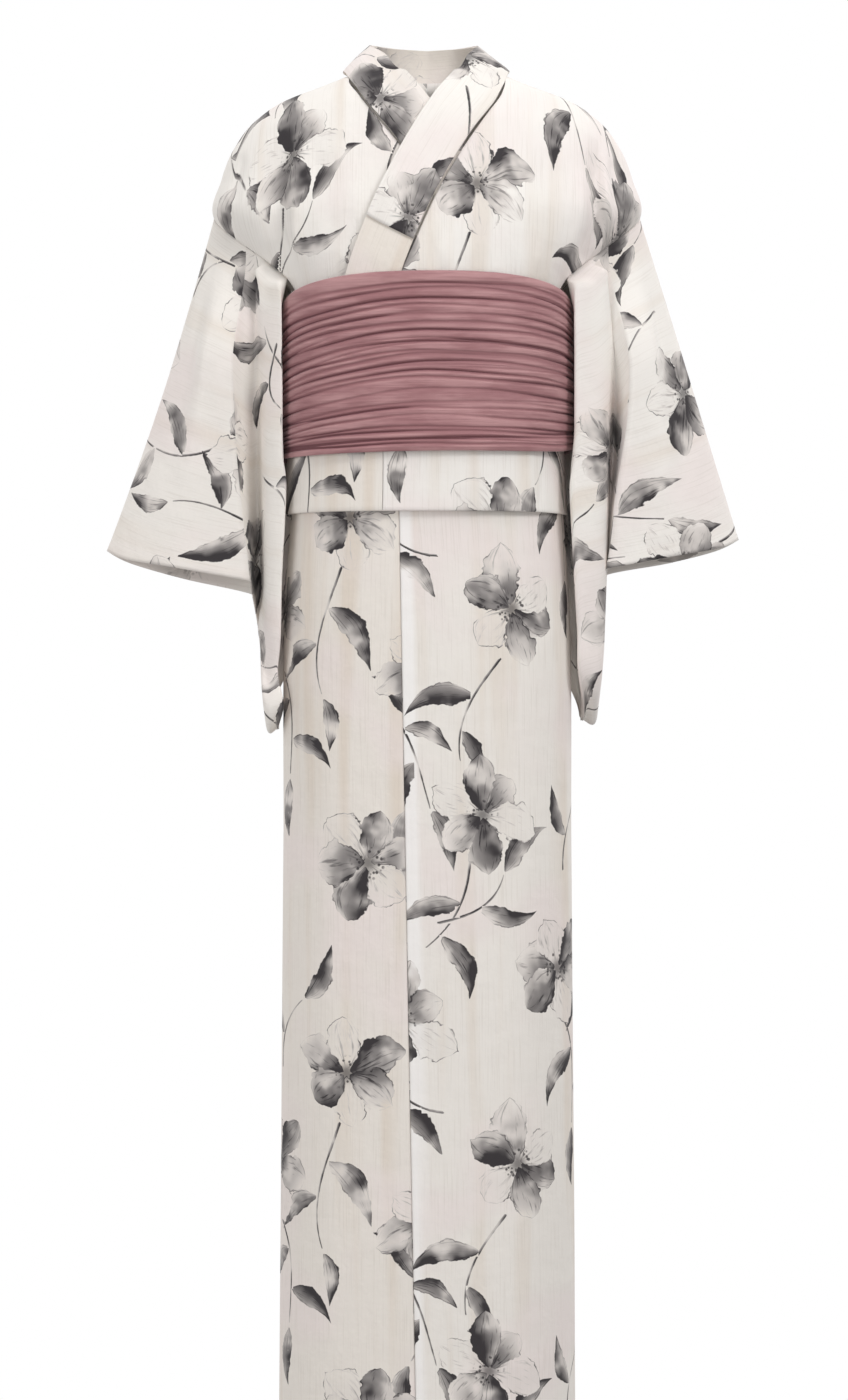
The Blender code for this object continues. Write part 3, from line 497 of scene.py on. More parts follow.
@dataclass
class BodyPanel:
    """A body panel (migoro), front and back in one length over the shoulder."""

    form: BodyForm
    name: str
    side: Side
    over: bool
    creases: tuple[Crease, ...] = ()
    back_creases: tuple[Crease, ...] = ()
    pitch: float = 0.0035
    columns: int = 96
    print_shift: tuple[float, float] = (0.0, 0.0)
    seam: Curve = field(init=False)
    edges: Curve = field(init=False)

    def __post_init__(self) -> None:
        """Reads the tables of its arm seam and its front edge."""
        self.seam, self.edges = Curve(ARM_SEAM), Curve(FRONT_EDGES)

    def out(self, z: Array, x: Array, turn: Array) -> Array:
        """Works out how far out the panel lies: over the right front, then level with the back.

        Args:
            z: heights.
            x: the form's x there.
            turn: turns from the centre front.

        Returns:
            The distances from the form.
        """
        if not self.over:
            return np.full(np.shape(z), UPPER_UNDER)
        across = eased((OVER_GONE_X - x) / (OVER_GONE_X - OVER_FULL_X))
        rise = across * eased((OVER_GONE_Z - z) / (OVER_GONE_Z - OVER_FULL_Z))
        return UPPER_UNDER + (UPPER_OVER - UPPER_UNDER) * rise * (np.abs(turn) < 90)

    def place(self, z: Array, turn: Array) -> tuple[Array, Array]:
        """Finds points of the panel.

        Args:
            z: heights.
            turn: turns from the centre front towards this panel's side.

        Returns:
            The points and their outward directions.
        """
        turned = turn * self.side.value
        point, normal = self.form.point(z, turned), self.form.normal(z, turned)
        return point + self.out(z, point[..., 0], turn)[..., None] * normal, normal

    def side_turn(self, z: Array, front: bool) -> Array:
        """Works out where the panel ends at the side.

        Args:
            z: heights.
            front: whether it is the panel's front half.

        Returns:
            The turn in degrees from this half's own centre line.
        """
        last = ARM_SEAM[-1]
        arm = self.seam.at(z)[..., 0]
        share = (last[0] - z) / (last[0] - SIDE_OPENING_END_Z)
        if front:
            opening = last[1] + share * (90.0 - last[1])
            opening -= SIDE_OPENING_EASE * eased(share / 0.2) * eased((1 - share) / 0.2)
        else:
            opening = last[1] + eased(share / BACK_CLOSES_AT) * (89.0 - last[1])
        turn = np.where(z >= last[0], arm, opening)
        return np.where((z >= ARM_SEAM[0][0]) | (z <= SIDE_OPENING_END_Z), 90.0, turn)

    def tucked(self, turn: Array, moved: Array) -> Array:
        """Works out the waist tuck's fold and inner leaf below the panel's last row.

        Args:
            turn: turns along the panel's last row.
            moved: how far its folds move that row's points.

        Returns:
            The rows of points, from the fold to the leaf's top.
        """
        down = np.array([0.0, 0.0, -1.0])
        point, normal = self.place(np.full(turn.shape, TUCK_BOTTOM_Z), turn)
        flat = unit(normal * (1, 1, 0))
        centre = point - TUCK_FOLD_RADIUS * flat
        rows = [centre + TUCK_FOLD_RADIUS * (np.cos(angle) * flat + np.sin(angle) * down)
                for angle in np.radians(TUCK_FOLD_ANGLES)]
        for share in TUCK_LEAF_SHARES:
            height = np.full(turn.shape, TUCK_BOTTOM_Z + share * TUCK_RETURN)
            point, normal = self.place(height, turn)
            rows.append(point - 2 * TUCK_FOLD_RADIUS * unit(normal * (1, 1, 0)))
        return np.stack(rows) + moved[None]

    @staticmethod
    def tuck_plan(last: Array) -> Array:
        """Lays the tuck's rows out flat.

        Args:
            last: the plan of the panel's last row.

        Returns:
            The plan of the tuck's rows below it.
        """
        run = np.linspace(*TUCK_RUN, len(TUCK_FOLD_ANGLES) + len(TUCK_LEAF_SHARES))
        return last[None] - np.stack([0 * run, run], axis=-1)[:, None]

    @staticmethod
    def neck_allowance(top: Array) -> Array:
        """Works out the seam allowance that runs up inside the collar from the panel's top row.

        Args:
            top: the points of the top row.

        Returns:
            Two rows of points above it, the highest first.
        """
        azimuth = np.degrees(np.arctan2(np.abs(top[:, 0]), top[:, 1]))
        radius, z = np.moveaxis(Curve(NECK_SEAM).at(azimuth), -1, 0)
        radius, z = radius - NECK_ALLOWANCE_INSET, z + NECK_ALLOWANCE_RISE
        turn = np.radians(azimuth)
        high = np.stack([np.sign(top[:, 0]) * radius * np.sin(turn), radius * np.cos(turn), z], -1)
        return np.stack([high, (high + top) / 2])

    def heights(self) -> Array:
        """Returns the heights of the panel's rows, from the neck to the tuck's bottom."""
        marks = [row[0] for row in (*SHOULDER_RINGS, *ARM_SEAM)]
        return levels([*marks, SIDE_OPENING_END_Z, TUCK_BOTTOM_Z], self.pitch)

    def sheet_plan(self, points: Array, first: Array, step: int) -> Array:
        """Lays one half of the panel out flat.

        Args:
            points: the half's grid of points.
            first: distance from the centre, towards this side, of each row's first point.
            step: 1 where the columns run towards the side, -1 where they run back from it.

        Returns:
            Distance from the centre along the cloth and height, for each point.
        """
        across = first[:, None] + step * arc_lengths(points, 1)
        return np.stack([across, points[..., 2]], axis=-1)

    def cloth_uv(self, plan: Array, front: bool) -> Array:
        """Turns a plan into cloth metres: the print runs on over the shoulder's fold.

        Args:
            plan: distances from the centre along the cloth, and heights.
            front: whether it is the panel's front half.

        Returns:
            The places on the bolt.
        """
        ridge = Curve([(ring[1], ring[0]) for ring in SHOULDER_RINGS])
        fall = ridge.at(np.abs(plan[..., 0]))[..., 0] - plan[..., 1]
        along = fall if front else -fall
        u = self.side.value * plan[..., 0] + self.print_shift[0]
        return np.stack([u, self.print_shift[1] - along], axis=-1)

    def settle(self, plan: Array, shares: Array, creases: tuple[Crease, ...]) -> Array:
        """Works out how far the folds move the cloth, at rest where something holds it.

        Args:
            plan: the half's plan.
            shares: each column's share of the way from the inner edge to the side.
            creases: the half's creases, in its plan.

        Returns:
            The outward heights over the grid.
        """
        z = plan[..., 1]
        height = creased(plan, creases)
        hold = eased((z - OBI_HOLDS_Z) / 0.012) + eased((OBI_LETS_GO_Z - z) / 0.010) * TUCK_GIVE
        hold = hold * eased((FORM_TOP_Z - z) / 0.03)
        inner, side = shares * PANEL_REACH, (1 - shares) * PANEL_REACH
        hold = hold * eased(inner / 0.014) * eased(side / 0.012)
        on_other = self.over & (z < -0.03) & (plan[..., 0] < OVER_LIES_TO)
        return np.maximum(height * hold, -np.where(on_other, OVER_ROOM, OPEN_ROOM))

    def build(self) -> Piece:
        """Makes the panel.

        Returns:
            The panel's object.
        """
        z = self.heights()
        shares = column_shares(self.columns)
        start = self.form.turn_at(z, self.edges.at(z)[..., 0 if self.over else 1])
        gap = math.degrees(SEAM_GAP / 2 / CHEST_RADIUS)
        patches, edge = [], None
        front_turn = start[:, None] + (self.side_turn(z, True) - start)[:, None] * shares
        back_start = 180.0 - self.side_turn(z, False)
        back_turn = back_start[:, None] + (180.0 - gap - back_start)[:, None] * shares
        for front, turn in ((True, front_turn), (False, back_turn)):
            points, normals = self.place(z[:, None], turn)
            first = self.side.value * points[:, 0, 0] if front else edge
            plan = self.sheet_plan(points, first, 1 if front else -1)
            edge = plan[:, -1, 0]
            creases = self.creases if front else self.back_creases
            moved = self.settle(plan, shares if front else 1 - shares, creases)[..., None] * normals
            points = points + moved
            whole = np.concatenate(
                [self.neck_allowance(points[0]), points, self.tucked(turn[-1], moved[-1])])
            above = plan[0][None] + np.array(NECK_ALLOWANCE_RUN)[:, None]
            uv = self.cloth_uv(np.concatenate([above, plan, self.tuck_plan(plan[-1])]), front)
            patches.append(Patch(whole, uv, flip=self.side is Side.RIGHT))
        return Shell(self.name, patches).build()


# Each body panel's folds: from the centre towards its side and height, outward height, width.
RIGHT_FOLDS = (
    Crease(((0.150, -0.030), (0.156, -0.090), (0.160, -0.150), (0.152, -0.205)), -0.0100, 0.0085,
           0.30, 0.020),
    Crease(((0.138, -0.06), (0.144, -0.12), (0.143, -0.19)), 0.0018, 0.008),
    Crease(((0.100, -0.035), (0.080, -0.10), (0.058, -0.165)), 0.0012, 0.012),
    Crease(((0.125, -0.045), (0.108, -0.10), (0.098, -0.18)), -0.0010, 0.010),
    Crease(((0.090, -0.165), (0.087, -0.203)), 0.0012, 0.005, 0.5),
    Crease(((0.066, -0.172), (0.064, -0.203)), 0.0009, 0.004, 0.5),
    Crease(((0.205, -0.060), (0.218, -0.120)), -0.0022, 0.007),
)
LEFT_FOLDS = (
    Crease(((0.190, -0.040), (0.192, -0.100), (0.190, -0.150), (0.176, -0.205)), -0.0085, 0.0150,
           0.30, 0.0050),
    Crease(((0.172, -0.07), (0.170, -0.13), (0.160, -0.19)), 0.0016, 0.008),
    Crease(((0.208, -0.065), (0.214, -0.125)), -0.0024, 0.006),
    Crease(((0.075, -0.05), (0.060, -0.11), (0.048, -0.19)), 0.0012, 0.011),
    Crease(((0.118, -0.06), (0.112, -0.12), (0.100, -0.19)), -0.0010, 0.010),
    Crease(((-0.012, -0.150), (-0.013, -0.203)), 0.0018, 0.0040, 0.5),
    Crease(((0.004, -0.145), (0.005, -0.203)), -0.0014, 0.0036, 0.5),
    Crease(((0.016, -0.158), (0.018, -0.203)), 0.0018, 0.0045, 0.5),
    Crease(((0.030, -0.150), (0.031, -0.203)), -0.0014, 0.0040, 0.5),
    Crease(((0.045, -0.160), (0.044, -0.203)), 0.0014, 0.0050, 0.5),
    Crease(((0.120, -0.165), (0.118, -0.203)), 0.0012, 0.0050, 0.5),
    Crease(((0.130, -0.400), (0.127, -0.447)), -0.0020, 0.0040, 0.2),
    Crease(((0.112, -0.400), (0.108, -0.447)), 0.0016, 0.0050, 0.2),
    Crease(((0.060, -0.396), (0.064, -0.447)), 0.0012, 0.0070, 0.2),
)
PANEL_BACK_FOLDS = (
    Crease(((0.155, -0.040), (0.158, -0.110), (0.150, -0.200)), -0.0050, 0.009),
    Crease(((0.110, -0.030), (0.095, -0.100), (0.082, -0.195)), 0.0022, 0.012),
    Crease(((0.055, -0.060), (0.048, -0.130), (0.044, -0.200)), -0.0018, 0.011),
    Crease(((0.020, -0.150), (0.019, -0.203)), 0.0016, 0.0060, 0.5),
    Crease(((0.075, -0.400), (0.072, -0.447)), 0.0014, 0.0080, 0.2),
)


@dataclass
class UpperOverlap:
    """The left overlap panel's (okumi's) stretch under the obi and in the waist tuck."""

    panel: BodyPanel
    name: str = "okumi_left_upper_cloth"
    columns: int = 34
    pitch: float = 0.005
    print_at: tuple[float, float] = (0.11, 0.07)

    def build(self) -> Piece:
        """Makes the panel.

        Returns:
            The panel's object.
        """
        z = levels([SIDE_OPENING_END_Z, TUCK_BOTTOM_Z], self.pitch)
        edge = self.panel.edges.at(z)[..., 0]
        inner = self.panel.form.turn_at(z, edge) - math.degrees(SEAM_GAP / CHEST_RADIUS)
        shares = column_shares(self.columns)
        turn = OVERLAP_FAR_TURN + (inner - OVERLAP_FAR_TURN)[:, None] * shares
        points, _ = self.panel.place(z[:, None], turn)
        across = arc_lengths(points, 1)
        plan = np.stack([points[:, -1:, 0] - (across[:, -1:] - across), points[..., 2]], axis=-1)
        whole = np.concatenate([points, self.panel.tucked(turn[-1], 0 * points[-1])])
        plan = np.concatenate([plan, self.panel.tuck_plan(plan[-1])])
        uv = self.panel.cloth_uv(plan, True) + self.print_at
        return Shell(self.name, [Patch(whole, uv)]).build()


# ---------------------------------------------------------------- skirt

OKUMI_SEAM_TOP_X = 0.031
OKUMI_SEAM_HEM_X = 0.011
OVER_EDGE_TURN = -80.0
UNDER_EDGE_TURN = 54.0
OVER_RISE_TURNS = 14.0
PALE_FOLD = 0.013
SKIRT_RADIUS = 0.12  # turns a seam's gap into degrees
HEM_DEPTH = 0.012
HEM_THICKNESS = 0.0005
SEAM_DIP = 0.0006  # how far a seam draws its edge in, and over what width
SEAM_DIP_WIDTH = 0.0016


@dataclass
class SkirtPanel:
    """One of the skirt's six panels, hanging from the waist tie to the open hem."""

    form: BodyForm
    name: str
    start: Callable[[Array], Array]
    end: Callable[[Array], Array]
    over: bool
    columns: int
    print_at: tuple[float, float]
    creases: tuple[Crease, ...] = ()
    room: float = 0.006  # how far a fold may sink
    pitch: float = 0.006
    pale_edge: float = 0.0  # width of the paler stripe coloured beside its first seam

    def build(self) -> Piece:
        """Makes the panel.

        Returns:
            The panel's object.
        """
        z = levels([SKIRT_TOP_Z, TUCK_BOTTOM_Z, HEM_Z + HEM_DEPTH, HEM_Z], self.pitch)
        gap = math.degrees(SEAM_GAP / 2 / SKIRT_RADIUS)
        shares = column_shares(self.columns)
        first, last = self.start(z) + gap, self.end(z) - gap
        turn = first[:, None] + (last - first)[:, None] * shares
        normals = self.form.normal(z[:, None], turn)
        lift = SKIRT_OVER * eased((90.0 - turn) / OVER_RISE_TURNS) if self.over else 0 * turn
        points = self.form.point(z[:, None], turn) + lift[..., None] * normals
        across = arc_lengths(points, 1)
        middle = across[:, self.columns // 2][:, None]
        plan = np.stack([across - middle, points[..., 2]], axis=-1)
        hold = eased((TUCK_BOTTOM_Z - 0.005 - z) / 0.05)[:, None]
        inner, side = across, across[:, -1:] - across
        hold = hold * eased(inner / 0.02) * eased(side / 0.02)
        height = np.clip(creased(plan, self.creases) * hold, -self.room, 0.006)
        for away in (inner, side):
            height = height - SEAM_DIP * np.exp(-((away / SEAM_DIP_WIDTH) ** 2))
        hem = HEM_THICKNESS * eased((HEM_Z + HEM_DEPTH + 0.001 - z) / 0.001)[:, None]
        points = points + (height + hem)[..., None] * normals
        pale = eased((self.pale_edge - inner) / 0.002) if self.pale_edge else 0 * inner
        uv = np.stack([plan[..., 0] + self.print_at[0], plan[..., 1] + self.print_at[1], pale], -1)
        return Shell(self.name, [Patch(points, uv)]).build()


@dataclass
class Skirt:
    """The skirt: two back panels, two front panels and two overlap panels."""

    form: BodyForm
    pieces: dict[str, Piece] = field(default_factory=dict)

    def okumi_seam_turn(self, z: Array) -> Array:
        """Works out where the overlap panel's seam runs.

        Args:
            z: heights.

        Returns:
            The seam's turn in degrees at each.
        """
        share = (SKIRT_TOP_Z - z) / (SKIRT_TOP_Z - HEM_Z)
        return self.form.turn_at(z, OKUMI_SEAM_TOP_X + (OKUMI_SEAM_HEM_X - OKUMI_SEAM_TOP_X) * share)

    def build(self) -> None:
        """Makes the six panels."""

        def at(turn: float) -> Callable[[Array], Array]:
            """Returns an edge at the same turn all the way down."""
            return lambda z: np.full(np.shape(z), turn)

        def over_seam(z: Array) -> Array:
            """Returns the left overlap panel's seam, mirrored to the right side."""
            return -self.okumi_seam_turn(z)

        # name, first and last edge, over layer, columns, place on the bolt, folds, room
        rows = (
            ("skirt_back_right", at(-180.0), at(-90.0), False, 54, (0.13, 0.22), BACK_FOLDS, 0.006),
            ("skirt_back_left", at(90.0), at(180.0), False, 54, (0.31, 0.05), BACK_FOLDS, 0.006),
            ("skirt_front_right", at(-90.0), self.okumi_seam_turn, False, 50, (0.05, 0.1), (), 0.0),
            ("okumi_right_skirt", self.okumi_seam_turn, at(UNDER_EDGE_TURN), False, 24, (0.2, 0.3),
             (), 0.0),
            ("okumi_left_skirt", at(OVER_EDGE_TURN), over_seam, True, 44, (0.02, 0.33),
             OVERLAP_FOLDS, 0.0005),
            ("skirt_front_left", over_seam, at(90.0), True, 60, (0.285, 0.12), FRONT_FOLDS, 0.0005),
        )
        for name, *cut in rows:
            panel = SkirtPanel(self.form, name + "_cloth", *cut)
            panel.pale_edge = PALE_FOLD if name == "skirt_front_left" else 0.0
            self.pieces[name] = panel.build()


# Each panel's folds: across from its middle and height, outward height, width.
FRONT_FOLDS = (
    Crease(((0.118, -0.47), (0.121, -0.80), (0.116, -1.30)), 0.0022, 0.010),
    Crease(((0.062, -0.52), (0.058, -0.95), (0.066, -1.41)), 0.0016, 0.020),
    Crease(((-0.02, -0.70), (-0.026, -1.15), (-0.018, -1.43)), 0.0014, 0.024),
    Crease(((-0.085, -0.50), (-0.090, -0.85), (-0.094, -1.35)), 0.0012, 0.009),
)
OVERLAP_FOLDS = (
    Crease(((-0.062, -0.50), (-0.058, -0.90), (-0.064, -1.42)), 0.0018, 0.014),
    Crease(((0.012, -0.60), (0.018, -1.05), (0.010, -1.43)), 0.0014, 0.018),
)
BACK_FOLDS = (
    Crease(((-0.055, -0.47), (-0.052, -0.85), (-0.060, -1.42)), -0.0035, 0.013),
    Crease(((0.015, -0.55), (0.019, -1.00), (0.012, -1.40)), 0.0026, 0.016),
    Crease(((0.070, -0.48), (0.066, -0.95), (0.072, -1.43)), -0.0028, 0.012),
)


# ---------------------------------------------------------------- collar

# Seam xyz and free edge xyz at each station, from the nape down the wearer's left front.
COLLAR_OVER_PATH = (
    (0.000, 0.0720, 0.0270, 0.0000, 0.0860, 0.0690), (0.040, 0.0650, 0.0280, 0.0330, 0.0740, 0.0690),
    (0.072, 0.0430, 0.0290, 0.0510, 0.0430, 0.0650), (0.086, 0.0120, 0.0290, 0.0530, 0.0080, 0.0570),
    (0.086, -0.0200, 0.0240, 0.0430, -0.0250, 0.0420),
    (0.072, -0.0480, -0.0120, 0.0240, -0.0500, 0.0145),
    (0.047, -0.0720, -0.0480, 0.0020, -0.0690, -0.0170),
    (0.024, -0.0870, -0.0860, -0.0190, -0.0830, -0.0520),
    (0.003, -0.0980, -0.1260, -0.0420, -0.0930, -0.0960),
    (-0.014, -0.1040, -0.1660, -0.0620, -0.0980, -0.1400),
    (-0.028, -0.1060, -0.2050, -0.0790, -0.0980, -0.1880),
    (-0.037, -0.1070, -0.2500, -0.0900, -0.0960, -0.2400),
)
# The right side's stretch, down under the left front, mirrored in x when it is made.
COLLAR_UNDER_PATH = (
    (0.000, 0.0720, 0.0270, 0.0000, 0.0860, 0.0690), (0.040, 0.0650, 0.0280, 0.0330, 0.0740, 0.0690),
    (0.073, 0.0430, 0.0290, 0.0540, 0.0430, 0.0650), (0.088, 0.0120, 0.0290, 0.0600, 0.0080, 0.0580),
    (0.086, -0.0200, 0.0240, 0.0440, -0.0250, 0.0430),
    (0.065, -0.0480, -0.0120, 0.0200, -0.0500, 0.0170),
    (0.040, -0.0700, -0.0440, 0.0010, -0.0660, -0.0080),
    (0.012, -0.0850, -0.0840, -0.0290, -0.0800, -0.0480),
    (-0.010, -0.0960, -0.1260, -0.0530, -0.0900, -0.0920),
    (-0.024, -0.1020, -0.1660, -0.0700, -0.0950, -0.1400),
    (-0.033, -0.1040, -0.2050, -0.0830, -0.0940, -0.1900),
    (-0.040, -0.1040, -0.2400, -0.0900, -0.0930, -0.2300),
)
LIES_FROM = 5  # the station from which the collar lies on the fronts
CLIMBS_FROM = 4.8
OVER_COLLAR_END = 9.0
UNDER_COLLAR_END = 6.5
COLLAR_BOW = 0.004
COLLAR_FULLNESS = 0.0004  # how far its folded edge stands out, and its seam is drawn in


@dataclass
class Collar:
    """The collar band (eri) round the neck and down both fronts, and its over-collar."""

    form: BodyForm
    step: float = 0.08  # stations between rows
    columns: int = 20
    pieces: dict[str, Piece] = field(default_factory=dict)

    def out(self, station: Array, over: bool) -> Array:
        """Works out how far the collar lies outside the body form.

        Args:
            station: stations from the nape.
            over: whether it climbs on to the other front.

        Returns:
            The distances.
        """
        climb = eased((station - CLIMBS_FROM) / 1.2) * over
        return COLLAR_UNDER + (COLLAR_OVER - COLLAR_UNDER) * climb

    def points(self, path: Sequence[Sequence[float]], station: Array, over: bool) -> Array:
        """Finds the collar's points along one of its two paths.

        Args:
            path: the path's table.
            station: stations down the path.
            over: whether the collar climbs on to the other front.

        Returns:
            Rows of points from the seam to the free edge.
        """
        rows = Curve([(i, *values) for i, values in enumerate(path)]).at(station)
        share = column_shares(self.columns, 0.02)[None, :, None]
        straight = rows[:, None, :3] + (rows[:, None, 3:] - rows[:, None, :3]) * share
        outward = unit(straight * (1, 1, 0) - (0, 0.02, 0))
        straight = straight + outward * COLLAR_BOW * 4 * share * (1 - share)
        z = np.minimum(straight[..., 2], FORM_TOP_Z - 0.001)
        turn = self.form.turn_at(z, straight[..., 0])
        away = self.out(station, over)[:, None, None]
        flat = self.form.point(z, turn) + away * self.form.normal(z, turn)
        lies = eased(station - LIES_FROM + 1)[:, None, None]
        return straight + (flat - straight) * lies

    def band(self, name: str, low: float, high: float, lift: float, at: tuple[float, float],
             creases: tuple[Crease, ...]) -> Piece:
        """Makes a strip of the collar.

        Args:
            name: the piece's name.
            low: last station on the right side, as a negative number.
            high: last station on the left side.
            lift: how far the strip lies outside the band.
            at: where the strip was cut from the printed bolt.
            creases: its folds, along from the nape and across from the seam.

        Returns:
            The strip's object.
        """
        station = np.linspace(low, high, math.ceil((high - low) / self.step) + 1)
        right, left = station[station < 0], station[station >= 0]
        points = np.concatenate([
            self.points(COLLAR_UNDER_PATH, -right, False) * (-1, 1, 1),
            self.points(COLLAR_OVER_PATH, left, True),
        ])
        along, across = arc_lengths(points, 0), arc_lengths(points, 1)
        nape = along[len(right)].mean()
        plan = np.stack([along.mean(axis=1, keepdims=True) - nape + 0 * along, across], axis=-1)
        patch = Patch(points, plan[..., ::-1] * (1, -1) + at, flip=True)
        rim = np.minimum(across, across[:, -1:] - across)
        height = creased(plan, creases) * eased(rim / 0.012)
        height = height + COLLAR_FULLNESS * np.exp(-(((across[:, -1:] - across) / 0.005) ** 2))
        height = height - COLLAR_FULLNESS * np.exp(-((across / 0.003) ** 2))
        return Shell(name, [patch.pressed(height + lift)]).build()

    def build(self) -> None:
        """Makes the band and the over-collar."""
        last = len(COLLAR_UNDER_PATH) - 1.0
        self.pieces["collar"] = self.band("collar_cloth", -last, last, 0.0, (0.06, 0.41), ())
        self.pieces["over_collar"] = self.band(
            "over_collar_cloth", -UNDER_COLLAR_END, OVER_COLLAR_END, OVER_COLLAR_LIFT,
            (0.215, 0.30), COLLAR_FOLDS,
        )


# The collar's folds: along from the nape, towards the left positive, and across from the seam.
COLLAR_FOLDS = (
    Crease(((-0.155, 0.012), (-0.125, 0.040)), 0.0010, 0.006),
    Crease(((0.150, 0.010), (0.175, 0.036)), 0.0009, 0.007),
    Crease(((0.02, 0.006), (0.03, 0.040)), 0.0008, 0.009),
    Crease(((-0.05, 0.008), (-0.065, 0.036)), -0.0008, 0.008),
)


# ---------------------------------------------------------------- sleeves

SLEEVE_LEVELS = (0.0, 0.03, 0.1, 0.2, 0.3, 0.4, 0.5, 0.6, 0.7, 0.8, 0.88, 0.94, 0.98, 1.0)
STATIONS = 18  # round the sleeve, from its top fold by the front
CREASE_STATION = 3
CLOSED_FROM = 5  # the stations from here on are sewn together at the bottom
SEWN_TO = len(ARM_SEAM) - 1  # the last station of the arm seam
INNER_STATION = 9
SEAM_REACH = 0.40  # share of the way down over which the arm seam draws the cloth
SEAM_REACH_INSIDE = 0.03
SLEEVE_CLEARANCE = 0.005
FURI_DROP = 0.085
CREASE_TAKES = 0.055
BAG_TURNS_FROM = 0.86
CUFF_HEM_DEPTH = 0.011
CUFF_HEM_THICKNESS = 0.0004
# -z, how far the obi, tuck or skirt stands out of the body form there
BODY_REACH = ((0.10, 0.010), (0.19, 0.014), (0.21, 0.0175), (0.385, 0.0175),
              (0.41, 0.0100), (0.60, 0.0060), (1.00, 0.0050))


@dataclass
class SleeveCut:
    """Where a sleeve's cuff and bag hang, and its section at a few levels."""

    side: Side
    cuff_x: float
    cuff_z: float
    crease_z: float
    bag_z: float
    gather: float
    back_drops: tuple[float, float, float]  # how far the cuff's back layer hangs lower
    bag_y: float  # where the bag's bottom seam hangs in depth
    # share, crease x, valley x, valley y, roll x, reach in depth beside the body
    rows: tuple[tuple[float, ...], ...]


SLEEVE_RIGHT = SleeveCut(
    Side.RIGHT, 0.344, -0.485, -0.519, -0.676, 0.006, (0.002, 0.008, 0.012), -0.045,
    (
        (0.00, 0.214, 0.182, -0.050, 0.171, 0.062), (0.30, 0.208, 0.181, -0.030, 0.170, 0.064),
        (0.65, 0.201, 0.180, -0.014, 0.170, 0.062), (0.85, 0.194, 0.179, -0.010, 0.170, 0.056),
        (0.94, 0.190, 0.180, -0.008, 0.173, 0.040), (1.00, 0.188, 0.180, 0.000, 0.171, 0.000),
    ),
)
SLEEVE_LEFT = SleeveCut(
    Side.LEFT, 0.335, -0.473, -0.506, -0.667, 0.0, (0.001, 0.004, 0.005), 0.0,
    (
        (0.00, 0.218, 0.190, -0.050, 0.176, 0.062), (0.25, 0.216, 0.198, -0.036, 0.183, 0.064),
        (0.55, 0.212, 0.198, -0.012, 0.187, 0.066), (0.78, 0.200, 0.192, -0.030, 0.187, 0.060),
        (0.93, 0.194, 0.188, -0.022, 0.185, 0.044), (1.00, 0.190, 0.186, 0.000, 0.183, 0.000),
    ),
)


